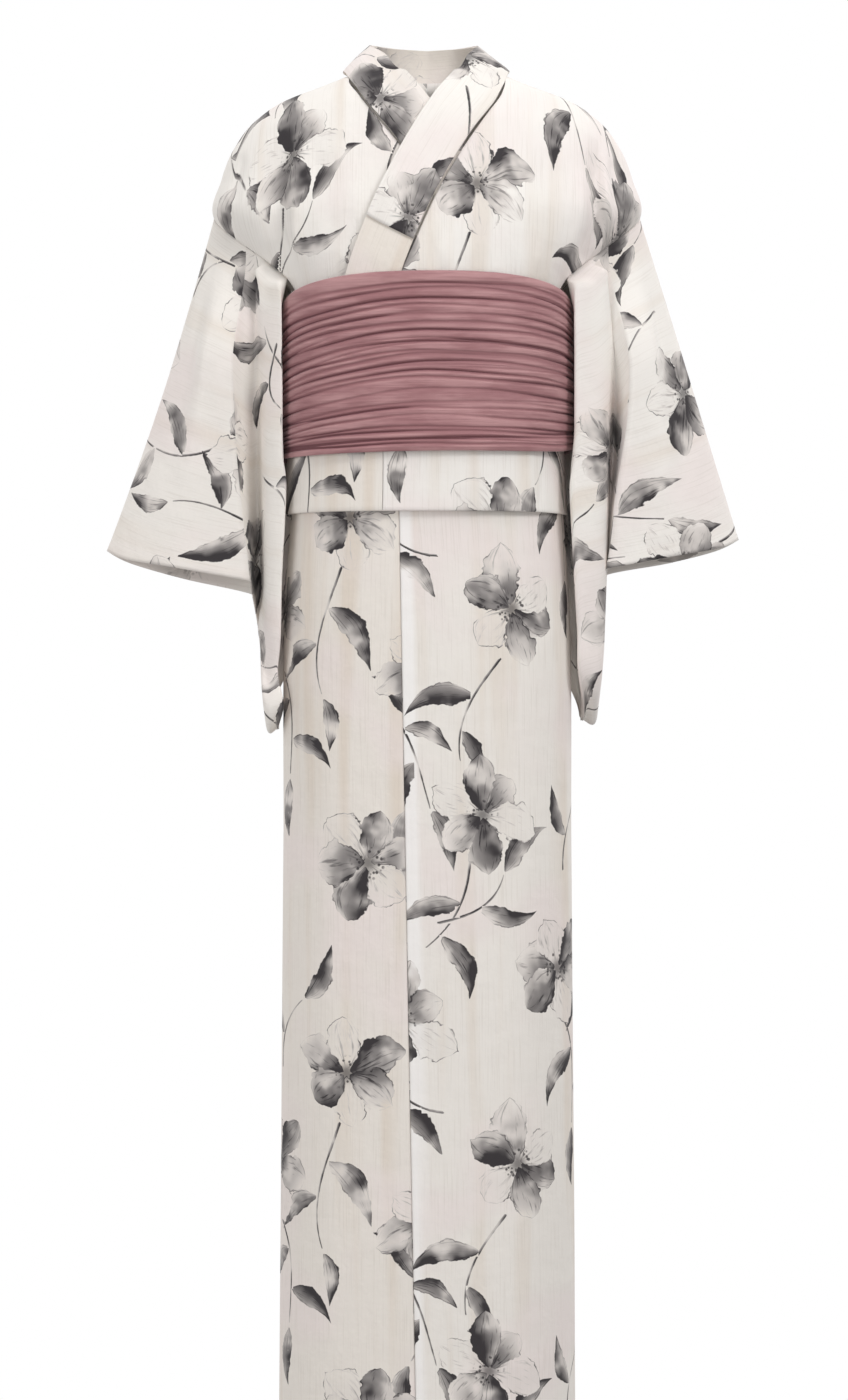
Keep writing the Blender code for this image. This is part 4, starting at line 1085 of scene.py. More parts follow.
@dataclass
class Sleeve:
    """A sleeve (sode) with its open cuff, open inner edge and closed hanging bag."""

    form: BodyForm
    name: str
    cut: SleeveCut
    creases: tuple[Crease, ...]
    print_at: tuple[float, float]
    steps: int = 8  # columns between two stations

    def beside_body(self, z: Array, y: Array) -> Array:
        """Works out the nearest x at which the sleeve clears what is beside it.

        Args:
            z: heights.
            y: depths.

        Returns:
            The x at each.
        """
        ring = self.form.rings.at(np.minimum(z, OBI_FORM_Z))
        depth = np.where(y < 0, ring[..., 1], ring[..., 2])
        share = np.minimum(np.abs(y) / depth, 0.95)
        reach = np.array(BODY_REACH)
        out = np.interp(-z, reach[:, 0], reach[:, 1])
        power = ring[..., 3]
        return ring[..., 0] * (1 - share**power) ** (1 / power) + out + SLEEVE_CLEARANCE

    def seam_point(self, station: float) -> Array:
        """Finds the body panel's edge at an arm seam station or between two.

        Args:
            station: the station.

        Returns:
            The point, on the wearer's left.
        """
        front = min(station, STATIONS - station)
        z = np.interp(front, np.arange(len(ARM_SEAM)), [row[0] for row in ARM_SEAM])
        turn = Curve(ARM_SEAM).at(z)[..., 0]
        turn = turn if station <= INNER_STATION else 180.0 - turn
        return self.form.point(z, turn) + UPPER_UNDER * self.form.normal(z, turn)

    def free_station(self, share: Array, station: int) -> Array:
        """Works out the sleeve's free shape at one of its stations.

        Args:
            share: shares of the way from the seam to the cuff.
            station: the station, from the fold round the front to the back.

        Returns:
            A point for each share.
        """
        cut = self.cut
        crease, valley, valley_y, roll, inner_y = np.moveaxis(Curve(cut.rows).at(share), -1, 0)
        shoulder = self.seam_point(0)
        fold = shoulder[0] + (cut.cuff_x - shoulder[0]) * share
        fold = fold - cut.gather * np.sin(np.pi * share)
        front = station if station <= INNER_STATION else STATIONS - station
        cuff_z = (
            cut.cuff_z, cut.cuff_z - 0.010, (cut.cuff_z + cut.crease_z) / 2 - 0.003,
            cut.crease_z, cut.crease_z - 0.028, cut.crease_z - 0.062,
            cut.bag_z + 0.003, cut.bag_z, cut.bag_z, cut.bag_z,
        )[front]
        if front <= SEWN_TO:
            top_z = ARM_SEAM[front][0]
        else:
            top_z = ARM_SEAM[-1][0] - FURI_DROP * (0.6 if front == 8 else 1.0)
        if station > INNER_STATION and front in (1, 2, 3):
            cuff_z -= cut.back_drops[front - 1]
        z = top_z + (cuff_z - top_z) * share
        forward = cut.bag_y * eased((share - BAG_TURNS_FROM) / (1 - BAG_TURNS_FROM))
        back = 1.0 if station > INNER_STATION else -1.0
        if front < SEWN_TO:
            x, y = (
                (fold, 0 * fold),  # the top fold
                (fold - 0.012 - 0.010 * share, 0 * fold + 0.028),
                ((fold + crease) / 2, 0 * fold + 0.049),  # the broad front
                (crease, 0.057 - 0.006 * share),  # the crease, where it is folded under
                ((crease + valley) / 2, (0.055 - 2 * valley_y) / 3),
                (valley, -valley_y),  # the valley in the hanging bag
                (roll, 0.82 * inner_y),  # the bag's roll beside the body
            )[front]
            y = back * y + forward * (front == 6)
        else:
            y = back * (1.0, 0.70, 0.0)[front - SEWN_TO] * inner_y + forward
            x = self.beside_body(z, y) + 0.002 * (front == 8)
            if station == SEWN_TO:
                x = (2 * x + roll) / 3
        return np.stack([x, y, z], axis=-1)

    def rings(self, share: Array) -> Array:
        """Finds the loops of points at each share, closed by a last column on the first.

        Args:
            share: shares of the way from the seam to the cuff.

        Returns:
            The grid of points on the wearer's left.
        """
        ring = np.zeros((STATIONS, len(share), 3))
        for station in range(STATIONS):
            ring[station] = self.free_station(share, station)
            front = station if station <= INNER_STATION else STATIONS - station
            if front <= SEWN_TO:
                reach = SEAM_REACH if front < CLOSED_FROM else SEAM_REACH_INSIDE
                start = self.free_station(np.zeros(1), station)[0]
                pull = (1 - eased(share / reach))[:, None]
                ring[station] += pull * (self.seam_point(station) - start)
        columns = []
        for i in range(STATIONS):
            before, here = ring[i - 1], ring[i]
            ahead, after = ring[(i + 1) % STATIONS], ring[(i + 2) % STATIONS]
            sharp = i in (CREASE_STATION, CREASE_STATION - 1)
            soft = (not sharp) * eased(share / 0.03)[:, None]
            for t in np.arange(self.steps) / self.steps:
                line = here + (ahead - here) * t
                bend = 0.5 * (
                    (2 * t**2 - t - t**3) * before + (2 - 5 * t**2 + 3 * t**3) * here
                    + (t + 4 * t**2 - 3 * t**3) * ahead + (t**3 - t**2) * after
                )
                column = line + (bend - line) * soft
                if min(i + t, STATIONS - i - t) <= SEWN_TO:
                    ease = (1 - eased(share / 0.06))[:, None]
                    column = column + ease * (self.seam_point(i + t) - column[0])
                columns.append(column)
        columns.append(columns[0])
        return np.stack(columns, axis=1)

    def build(self) -> Piece:
        """Makes the sleeve.

        Returns:
            The sleeve's object.
        """
        share = levels(SLEEVE_LEVELS, 0.014)
        points = self.rings(share)
        count, closed = STATIONS * self.steps, CLOSED_FROM * self.steps
        around, along = arc_lengths(points, 1), arc_lengths(points, 0)
        plan = np.stack([around, along], axis=-1)
        hold = eased(along / 0.02) * eased((along[-1:] - along) / 0.05)
        hem = (along[-1:] - along < CUFF_HEM_DEPTH) * (np.arange(count + 1) < closed)
        height = creased(plan, self.creases) * hold + hem * CUFF_HEM_THICKNESS
        height[:, -1] = height[:, 0] = (height[:, 1] + height[:, -2]) / 2
        points = points + height[..., None] * self.outward(points)
        for i in range(closed, count // 2 + 1):
            middle = (points[-1, i] + points[-1, count - i]) / 2
            points[-1, i] = points[-1, count - i] = middle
        mirrored = points * (self.cut.side.value, 1, 1)
        uv = np.stack([along + self.print_at[0], around + self.print_at[1]], axis=-1)
        # The print runs on over the top fold. It takes up further on where the cloth is
        # folded under at the crease, and breaks at the inner edge.
        crease, inner = CREASE_STATION * self.steps, INNER_STATION * self.steps
        back_uv = uv - np.stack([0 * around[:, -1:], around[:, -1:]], axis=-1)
        runs = ((slice(0, crease + 1), uv), (slice(crease, inner + 1), uv + (0.0, CREASE_TAKES)),
                (slice(inner, None), back_uv))
        flip = self.cut.side is Side.LEFT
        return Shell(self.name, [Patch(mirrored[:, run], at[:, run], flip) for run, at in runs]).build()

    @staticmethod
    def outward(points: Array) -> Array:
        """Finds the outward directions round a sleeve whose first column is its last.

        Args:
            points: the sleeve's grid.

        Returns:
            Unit vectors over the grid.
        """
        body = points[:, :-1]
        across = np.roll(body, -1, axis=1) - np.roll(body, 1, axis=1)
        across = np.concatenate([across, across[:, :1]], axis=1)
        return unit(-np.cross(np.gradient(points, axis=0), across))


# Each sleeve's folds: round from its top fold by the front, and down from the arm seam.
SLEEVE_FOLDS = (
    Crease(((0.020, 0.05), (0.045, 0.17), (0.060, 0.30)), -0.0022, 0.011),
    Crease(((0.050, 0.03), (0.075, 0.12), (0.110, 0.33)), 0.0020, 0.012),
    Crease(((0.085, 0.16), (0.100, 0.25), (0.130, 0.40)), -0.0018, 0.010),
)


# ---------------------------------------------------------------- obi

OBI_CRINKLES = 21
SHORT_CRINKLES = 46
CRINKLE_SEED = 17
OBI_CRINKLE_HEIGHT = 0.0026
OBI_LAP_TURN = 146.0
OBI_LAP_RISE = 20.0
OBI_LAP_LIFT = 0.0056
OBI_ENDS = 192.0
# turn, top, bottom
OBI_EDGES = (
    (-200.0, -0.206, -0.386), (-130.0, -0.212, -0.387), (-90.0, -0.230, -0.389),
    (-62.0, -0.213, -0.389), (0.0, -0.198, -0.386), (60.0, -0.210, -0.383),
    (90.0, -0.229, -0.377), (130.0, -0.208, -0.383), (200.0, -0.206, -0.386),
)


@dataclass
class Obi:
    """The sash: one soft, crinkled band round the waist, its free end lapped at the back."""

    form: BodyForm
    name: str = "obi_cloth"
    rows: int = 260
    columns: int = 176
    edge_roll: float = 0.0026  # how far its long edges turn in, and over what height
    edge_roll_height: float = 0.006

    def lean(self, turn: Array) -> Array:
        """Works out how far the crinkles sink towards each side.

        Args:
            turn: turns round the body in degrees.

        Returns:
            Shares of the sash's height.
        """
        sine = np.sin(np.radians(turn))
        return 0.095 * np.maximum(-sine, 0.0) ** 1.3 + 0.022 * np.maximum(sine, 0.0)

    def relief(self, share: Array, turn: Array) -> Array:
        """Works out the crinkles' height: long valleys all round and short ones between them.

        Args:
            share: places from the top edge to the bottom one, before the crinkles' lean.
            turn: turns round the body in degrees.

        Returns:
            The outward height in metres.
        """
        draw = np.random.default_rng(CRINKLE_SEED)
        round_body = np.radians(turn)
        gaps = draw.uniform(0.5, 1.5, OBI_CRINKLES + 1)
        places = np.cumsum(gaps)[:-1] / gaps.sum()
        height = np.ones(np.broadcast_shapes(share.shape, turn.shape))
        for place in places:
            wander = 0.007 * np.sin(draw.uniform(1.2, 3.0) * round_body + draw.uniform(0, 6.3))
            wander = wander + 0.003 * np.sin(draw.uniform(5, 9) * round_body + draw.uniform(0, 6.3))
            swell = np.sin(draw.uniform(1.5, 3.5) * round_body + draw.uniform(0, 6.3))
            off = share - place - wander
            width = np.where(off < 0, draw.uniform(0.005, 0.008), draw.uniform(0.010, 0.018))
            height -= (draw.uniform(0.55, 0.95) + 0.25 * swell) * np.exp(-((off / width) ** 2))
        for _ in range(SHORT_CRINKLES):
            place, centre = draw.uniform(0.02, 0.98), draw.uniform(-190, 190)
            reach, tilt = draw.uniform(18, 55), draw.uniform(-0.05, 0.05)
            off = share - place - tilt * (turn - centre) / 90
            ends = np.exp(-(((turn - centre) / reach) ** 4))
            width = draw.uniform(0.004, 0.008)
            height -= draw.uniform(0.25, 0.60) * ends * np.exp(-((off / width) ** 2))
        height += 0.12 * np.sin(2 * np.pi * 5.3 * share + 1.7 * np.sin(1.3 * round_body))
        return OBI_CRINKLE_HEIGHT * np.clip(height, 0.0, 1.0)

    def build(self) -> Piece:
        """Makes the sash.

        Returns:
            The sash's object, with its relief kept as an attribute.
        """
        share = np.linspace(0, 1, self.rows + 1)[:, None]
        turn = np.linspace(-OBI_ENDS, OBI_ENDS, self.columns + 1)[None, :]
        edges = Curve(OBI_EDGES).at(turn)
        place = share + self.lean(turn) * np.sin(np.pi * share)
        z = edges[..., 0] + (edges[..., 1] - edges[..., 0]) * place
        lap = OBI_LAP_LIFT * eased((turn - OBI_LAP_TURN) / OBI_LAP_RISE)
        height = self.relief(share, turn)
        from_edge = np.minimum(z - edges[..., 1], edges[..., 0] - z)
        roll = self.edge_roll * (1 - np.sqrt(np.clip(from_edge / self.edge_roll_height, 0, 1)))
        waist = np.minimum(z, OBI_FORM_Z)
        turn = turn + 0 * share
        normal = unit(self.form.normal(waist, turn) * (1, 1, 0))
        points = self.form.point(waist, turn)
        points = points + (OBI_FACE + lap + height - roll)[..., None] * normal
        points[..., 2] = z
        around = np.broadcast_to(arc_lengths(points, 1).mean(axis=0), z.shape)
        uv = np.stack([around, z, height / OBI_CRINKLE_HEIGHT], axis=-1)
        return Shell(self.name, [Patch(points, uv)], wall=OBI_CLOTH).build()


# ---------------------------------------------------------------- the print's drawing


class Ink(Enum):
    """How a brush mark is inked: wash darkness, darker towards its base, pull of its outline."""

    DARK = (1.02, 0.25, 0.30)
    MID = (0.66, 0.75, 0.45)
    PALE = (0.12, 0.35, 0.85)
    LEAF = (1.02, -0.22, 0.35)
    STEM = (1.15, 0.0, 0.0)


STEM_TAPER = 0.45
LEAF_SHAPE = (0.72, 1.15)  # powers of the outline: below 1 the first is broadest near the foot
PETAL_SHAPE = (1.28, 0.62)
BEYOND_ENDS = -0.004  # the half width past a mark's ends, which keeps it from being drawn


@dataclass(frozen=True)
class Mark:
    """One brush mark on the bolt: a petal, a leaf or a stem, along a bent line."""

    start: tuple[float, float]
    angle: float  # degrees, 0 along the bolt's width and 90 up its length
    length: float
    half_width: float
    ink: Ink
    bend: float = 0.0
    wave: float = 0.0
    seed: float = 0.0
    layer: int = 0

    def local(self, away: Array) -> tuple[Array, Array, Array]:
        """Reads places in the mark's own measure.

        Args:
            away: places on the bolt less the mark's start.

        Returns:
            Share of the way along, distance off the bent line, and half width there.
        """
        turn = math.radians(self.angle)
        along = away[..., 0] * math.cos(turn) + away[..., 1] * math.sin(turn)
        aside = away[..., 1] * math.cos(turn) - away[..., 0] * math.sin(turn)
        share = along / self.length
        inner = np.clip(share, 0.0, 1.0)
        curve = 4 * inner * (1 - inner) * (self.bend + self.wave * (1 - 2 * inner))
        aside = aside - curve * self.length
        if self.ink is Ink.STEM:
            width = self.half_width * (1.0 - STEM_TAPER * inner)
        else:
            point, blunt = LEAF_SHAPE if self.ink is Ink.LEAF else PETAL_SHAPE
            width = self.half_width * np.sin(np.pi * inner**point) ** blunt
        return share, aside, np.where((share < 0) | (share > 1), BEYOND_ENDS, width)

    def on_line(self, share: float) -> tuple[float, float]:
        """Finds a place on the mark's line.

        Args:
            share: share of the way along it.

        Returns:
            The place on the bolt.
        """
        turn = math.radians(self.angle)
        along = share * self.length
        aside = 4 * share * (1 - share) * (self.bend + self.wave * (1 - 2 * share)) * self.length
        return (
            self.start[0] + along * math.cos(turn) - aside * math.sin(turn),
            self.start[1] + along * math.sin(turn) + aside * math.cos(turn),
        )


@dataclass(frozen=True)
class Bloom:
    """A six-petalled flower: three petals behind and three in front."""

    centre: tuple[float, float]
    radius: float
    turn: float
    seed: int

    def marks(self) -> list[Mark]:
        """Draws the petals, each with its own length, breadth, bend and ink.

        Returns:
            The petals' marks.
        """
        draw = np.random.default_rng(self.seed)
        inks = [Ink.DARK, Ink.PALE, Ink.MID, Ink.DARK, Ink.PALE, Ink.MID]
        shift = int(draw.integers(0, 3))
        made = []
        for i in range(6):
            length = self.radius * draw.uniform(0.74, 1.06)
            angle = self.turn + 60 * i + draw.uniform(-9, 9)
            turn = math.radians(angle)
            foot = 0.05 * self.radius
            start = (self.centre[0] + foot * math.cos(turn), self.centre[1] + foot * math.sin(turn))
            made.append(Mark(
                start, angle, length, self.radius * draw.uniform(0.27, 0.36),
                inks[(i + shift) % 6], draw.uniform(-0.10, 0.10), draw.uniform(-0.08, 0.08),
                draw.uniform(0, 40), 1 + i % 2,
            ))
        return made


@dataclass(frozen=True)
class Spray:
    """A bent stem with leaves along it."""

    start: tuple[float, float]
    angle: float
    length: float
    bend: float
    wave: float
    # share along the stem, turn off its line in degrees, length, bend
    leaves: tuple[tuple[float, float, float, float], ...]

    def marks(self) -> list[Mark]:
        """Draws the stem and its leaves.

        Returns:
            Their marks.
        """
        stem = Mark(self.start, self.angle, self.length, 0.0019, Ink.STEM, self.bend, self.wave)
        made = [stem]
        for i, (share, turn, length, bend) in enumerate(self.leaves):
            made.append(Mark(
                stem.on_line(share), self.angle + turn, length, 0.145 * length + 0.0010,
                Ink.LEAF, bend, 0.05 * (-1) ** i, 3.1 * i + 7 * share,
            ))
        return made


@dataclass
class ClothFaces:
    """Where the faces of a piece lie on the bolt, by its UV map in cloth metres."""

    mesh: bpy.types.Mesh
    uv: Array = field(init=False)  # each corner's place
    owner: Array = field(init=False)  # each corner's face
    middle: Array = field(init=False)  # each face's middle

    def __post_init__(self) -> None:
        """Reads the places from the mesh."""
        uv = np.empty(len(self.mesh.loops) * 2, np.float32)
        self.mesh.uv_layers["cloth_metres"].data.foreach_get("uv", uv)
        self.uv = uv.reshape(-1, 2).astype(float)
        faces = len(self.mesh.polygons)
        sizes = np.empty(faces, np.int32)
        self.mesh.polygons.foreach_get("loop_total", sizes)
        self.owner = np.repeat(np.arange(faces), sizes)
        sums = [np.bincount(self.owner, self.uv[:, i], faces) for i in (0, 1)]
        self.middle = np.stack(sums, -1) / sizes[:, None]

    def store(self, name: str, domain: str, values: Array) -> None:
        """Keeps values as a vector attribute of the mesh."""
        made = self.mesh.attributes.new(name, "FLOAT_VECTOR", domain)
        made.data.foreach_set("vector", values.astype(np.float32).ravel())


@dataclass(frozen=True)
class Bolt:
    """The printed bolt: one repeat of flowers, leaves and stems, in metres."""

    width: float = 0.372
    repeat: float = 0.580
    blooms: tuple[Bloom, ...] = (
        Bloom((0.075, 0.095), 0.066, 12, 3), Bloom((0.262, 0.150), 0.062, 100, 8),
        Bloom((0.140, 0.300), 0.060, 205, 5), Bloom((0.318, 0.352), 0.066, 44, 21),
        Bloom((0.052, 0.455), 0.061, 150, 13), Bloom((0.228, 0.515), 0.058, 280, 34),
    )
    sprays: tuple[Spray, ...] = (
        Spray((0.110, 0.060), -62, 0.135, 0.10, 0.05,
              ((0.35, 36, 0.059, 0.16), (0.62, -44, 0.084, -0.14), (1.0, -8, 0.070, 0.10))),
        Spray((0.250, 0.100), -112, 0.120, -0.12, 0.04,
              ((0.40, -50, 0.079, -0.16), (0.72, 40, 0.058, 0.12))),
        Spray((0.128, 0.252), -96, 0.100, 0.10, -0.05,
              ((0.45, 52, 0.070, 0.14), (1.0, 6, 0.079, -0.12))),
        Spray((0.325, 0.300), -80, 0.120, 0.12, 0.06,
              ((0.30, -46, 0.077, -0.16), (0.66, 50, 0.067, 0.15), (1.0, -10, 0.065, -0.1))),
        Spray((0.045, 0.405), -98, 0.140, -0.10, 0.06,
              ((0.32, 44, 0.086, 0.14), (0.60, -46, 0.072, -0.15), (1.0, 15, 0.058, 0.12))),
        Spray((0.214, 0.468), -118, 0.105, 0.12, 0.0,
              ((0.42, -42, 0.072, -0.12), (0.80, 50, 0.077, 0.16))),
        Spray((0.178, 0.402), 36, 0.090, -0.16, 0.05, ((0.5, -38, 0.067, -0.14), (1.0, 4, 0.072, 0.14))),
        Spray((0.186, 0.205), 148, 0.070, 0.14, 0.0, ((1.0, -12, 0.070, -0.12),)),
        Spray((0.330, 0.455), 62, 0.085, 0.14, 0.0, ((0.4, 52, 0.062, 0.12), (1.0, -4, 0.072, -0.14))),
    )

    @property
    def tile(self) -> Array:
        """Returns the repeat's width and length."""
        return np.array([self.width, self.repeat])

    def marks(self) -> list[Mark]:
        """Returns every mark of one repeat."""
        return [mark for part in (*self.sprays, *self.blooms) for mark in part.marks()]

    def dye(self, piece: Piece, ground: float) -> None:
        """Stores where each face of a piece lies on the nearest marks of the print.

        Args:
            piece: the piece, its UV map in cloth metres.
            ground: how beige the piece's ground is, from 0 to 1; on the collar band this beige is
                painted shade.
        """
        cloth = ClothFaces(piece.data)
        for layer in range(3):
            self._dye_layer(cloth, layer)
        middle, owner, faces = cloth.middle, cloth.owner, len(cloth.middle)
        best = np.full(faces, 1e9)
        shift, chosen = np.zeros((faces, 2)), np.zeros(faces, int)
        for i, bloom in enumerate(self.blooms):
            away = middle - bloom.centre
            turns = self.tile * np.round(away / self.tile)
            near = np.linalg.norm(away - turns, axis=1) / bloom.radius
            closer = near < best
            best, chosen = np.where(closer, near, best), np.where(closer, i, chosen)
            shift = np.where(closer[:, None], turns + bloom.centre, shift)
        radius = np.array([bloom.radius for bloom in self.blooms])[chosen]
        local = (cloth.uv - shift[owner]) / radius[owner][:, None]
        cloth.store("bloom", "CORNER", np.column_stack([local, chosen[owner] * 7.0]))
        # The ground's beige, which on the collar band is painted shade.
        tone = cloth.mesh.attributes.new("ground_and_shade_tone", "FLOAT", "FACE")
        tone.data.foreach_set("value", np.full(faces, ground, np.float32))

    def _dye_layer(self, cloth: ClothFaces, layer: int) -> None:
        """Stores the nearest mark of one layer for each face.

        Args:
            cloth: the piece's faces.
            layer: the layer's number.
        """
        marks = [mark for mark in self.marks() if mark.layer == layer]
        uv, middle, owner = cloth.uv, cloth.middle, cloth.owner
        best = np.full(len(middle), -0.02)
        chosen = np.full(len(middle), -1)
        shift = np.zeros_like(middle)
        for i, mark in enumerate(marks):
            centre = np.array(mark.on_line(0.5))
            turns = self.tile * np.round((middle - centre) / self.tile)
            away = middle - turns - mark.start
            near = np.abs(away - (centre - mark.start)).max(axis=1) < mark.length
            share, aside, width = mark.local(away[near])
            past = np.maximum(np.maximum(-share, share - 1), 0) * mark.length
            depth = np.maximum(width, 0) - np.abs(aside) - past
            closer = np.zeros(len(middle), bool)
            closer[near] = depth > best[near]
            best[closer] = depth[closer[near]]
            chosen[closer] = i
            shift[closer] = turns[closer]
        coords = np.tile([0.5, 1.0, -1.0], (len(uv), 1))
        style, seeds = np.zeros((len(middle), 3)), np.zeros((len(middle), 3))
        for i, mark in enumerate(marks):
            faces = chosen == i
            pick = faces[owner]
            away = uv[pick] - shift[owner[pick]] - mark.start
            coords[pick] = np.column_stack(mark.local(away))
            style[faces], seeds[faces] = mark.ink.value, (mark.seed, 0, 0)
        cloth.store(f"mark_{layer}", "CORNER", coords)
        cloth.store(f"ink_{layer}", "FACE", style)
        cloth.store(f"seed_{layer}", "FACE", seeds)


# ---------------------------------------------------------------- finishes


class Nodes:
    """A node tree that is built up by plain calls."""

    def __init__(self, tree: bpy.types.NodeTree) -> None:
        """Keeps the tree."""
        self.tree = tree

    def feed(self, socket: Socket, value: object) -> None:
        """Gives an input what it reads.

        Args:
            socket: the input.
            value: a number, a colour, a material or another node's output.
        """
        if isinstance(value, Socket):
            self.tree.links.new(value, socket)
        else:
            socket.default_value = value

    def add(self, kind: str, feeds: dict[str | int, object] | None = None,
            **settings: object) -> bpy.types.NodeOutputs:
        """Adds a node.

        Args:
            kind: its type.
            feeds: what its inputs read, by their names or numbers.
            settings: its settings, by their names.

        Returns:
            Its outputs.
        """
        made = self.tree.nodes.new(kind)
        for key, value in settings.items():
            setattr(made, key, value)
        for key, value in (feeds or {}).items():
            self.feed(made.inputs[key], value)
        return made.outputs

    def math(self, operation: str, *values: object, clamp: bool = False) -> Socket:
        """Reckons with one to three values."""
        feeds = dict(enumerate(values))
        return self.add("ShaderNodeMath", feeds, operation=operation, use_clamp=clamp)[0]

    def times(self, product: object, *values: object) -> Socket:
        """Multiplies values one after another.

        Args:
            product: the first value.
            values: the others.

        Returns:
            Their product.
        """
        for value in values:
            product = self.math("MULTIPLY", product, value)
        return product

    def join(self, x: object, y: object, z: object = 0.0) -> Socket:
        """Joins three numbers into a vector."""
        return self.add("ShaderNodeCombineXYZ", {0: x, 1: y, 2: z})[0]


class Graph(Nodes):
    """A material's nodes. Each method adds what it names and returns its output."""

    def __init__(self, name: str) -> None:
        """Starts a material with its shader.

        Args:
            name: the material's name.
        """
        self.material = bpy.data.materials.new(name)
        self.material.use_nodes = True
        super().__init__(self.material.node_tree)
        self.shader = self.tree.nodes["Principled BSDF"]

    def rise(self, value: object, low: float, high: float, top: float = 1.0) -> Socket:
        """Rises smoothly from 0 to a top as the value goes from low to high."""
        feeds = dict(enumerate((value, low, high, 0.0, top)))
        return self.add("ShaderNodeMapRange", feeds, interpolation_type="SMOOTHSTEP")[0]

    def fall(self, value: object, low: float, high: float) -> Socket:
        """Falls smoothly from 1 to 0 as the value goes from low to high."""
        return self.math("SUBTRACT", 1.0, self.rise(value, low, high))

    def mix(self, share: object, a: object, b: object) -> Socket:
        """Mixes two colours."""
        feeds = {0: share, 6: a, 7: b}  # the colour mixer's own inputs
        return self.add("ShaderNodeMix", feeds, data_type="RGBA", clamp_factor=True)[2]

    def parts(self, attribute: str) -> tuple[Socket, Socket, Socket]:
        """Reads the three numbers of a vector attribute."""
        read = self.add("ShaderNodeAttribute", attribute_name=attribute)["Vector"]
        return tuple(self.add("ShaderNodeSeparateXYZ", {0: read}))

    def number(self, attribute: str) -> Socket:
        """Reads a number attribute."""
        return self.add("ShaderNodeAttribute", attribute_name=attribute)["Fac"]

    def noise(self, vector: Socket, scale: float, detail: float = 2.0) -> Socket:
        """Lays a noise from 0 to 1 over a vector."""
        feeds = {"Vector": vector, "Scale": scale, "Detail": detail}
        return self.add("ShaderNodeTexNoise", feeds)["Fac"]

    def streaks(self, place: tuple[Socket, Socket], across: float, along: float,
                detail: float = 3.0) -> Socket:
        """Lays a noise with its own scales across and along the cloth."""
        stretched = self.join(self.times(place[0], across), self.times(place[1], along))
        return self.noise(stretched, 1.0, detail)

    def cloth_uv(self) -> tuple[Socket, Socket]:
        """Reads the place in cloth metres, across and along."""
        read = self.add("ShaderNodeUVMap", uv_map="cloth_metres")[0]
        return tuple(self.add("ShaderNodeSeparateXYZ", {0: read}))[:2]

    def bump(self, height: Socket, distance: float, below: Socket | None = None) -> Socket:
        """Bends the normal by a height.

        Args:
            height: the height.
            distance: how far the height stands out at 1, in metres.
            below: the normal that it is laid on, if it is bent already.

        Returns:
            The normal.
        """
        feeds = {"Strength": 1.0, "Distance": distance, "Height": height, "Normal": below}
        feeds = {name: value for name, value in feeds.items() if value is not None}
        return self.add("ShaderNodeBump", feeds)[0]

    def finished(self, **inputs: object) -> bpy.types.Material:
        """Gives the shader what it reads.

        Args:
            inputs: by the inputs' names, with underscores for spaces.

        Returns:
            The material.
        """
        for name, value in inputs.items():
            self.feed(self.shader.inputs[name.replace("_", " ")], value)
        return self.material


def linear(colour: Colour) -> tuple[float, float, float, float]:
    """Turns a display colour into the shader's linear one, with its alpha."""
    parts = [value / 255 for value in colour]
    return (*[p / 12.92 if p <= 0.04045 else ((p + 0.055) / 1.055) ** 2.4 for p in parts], 1.0)


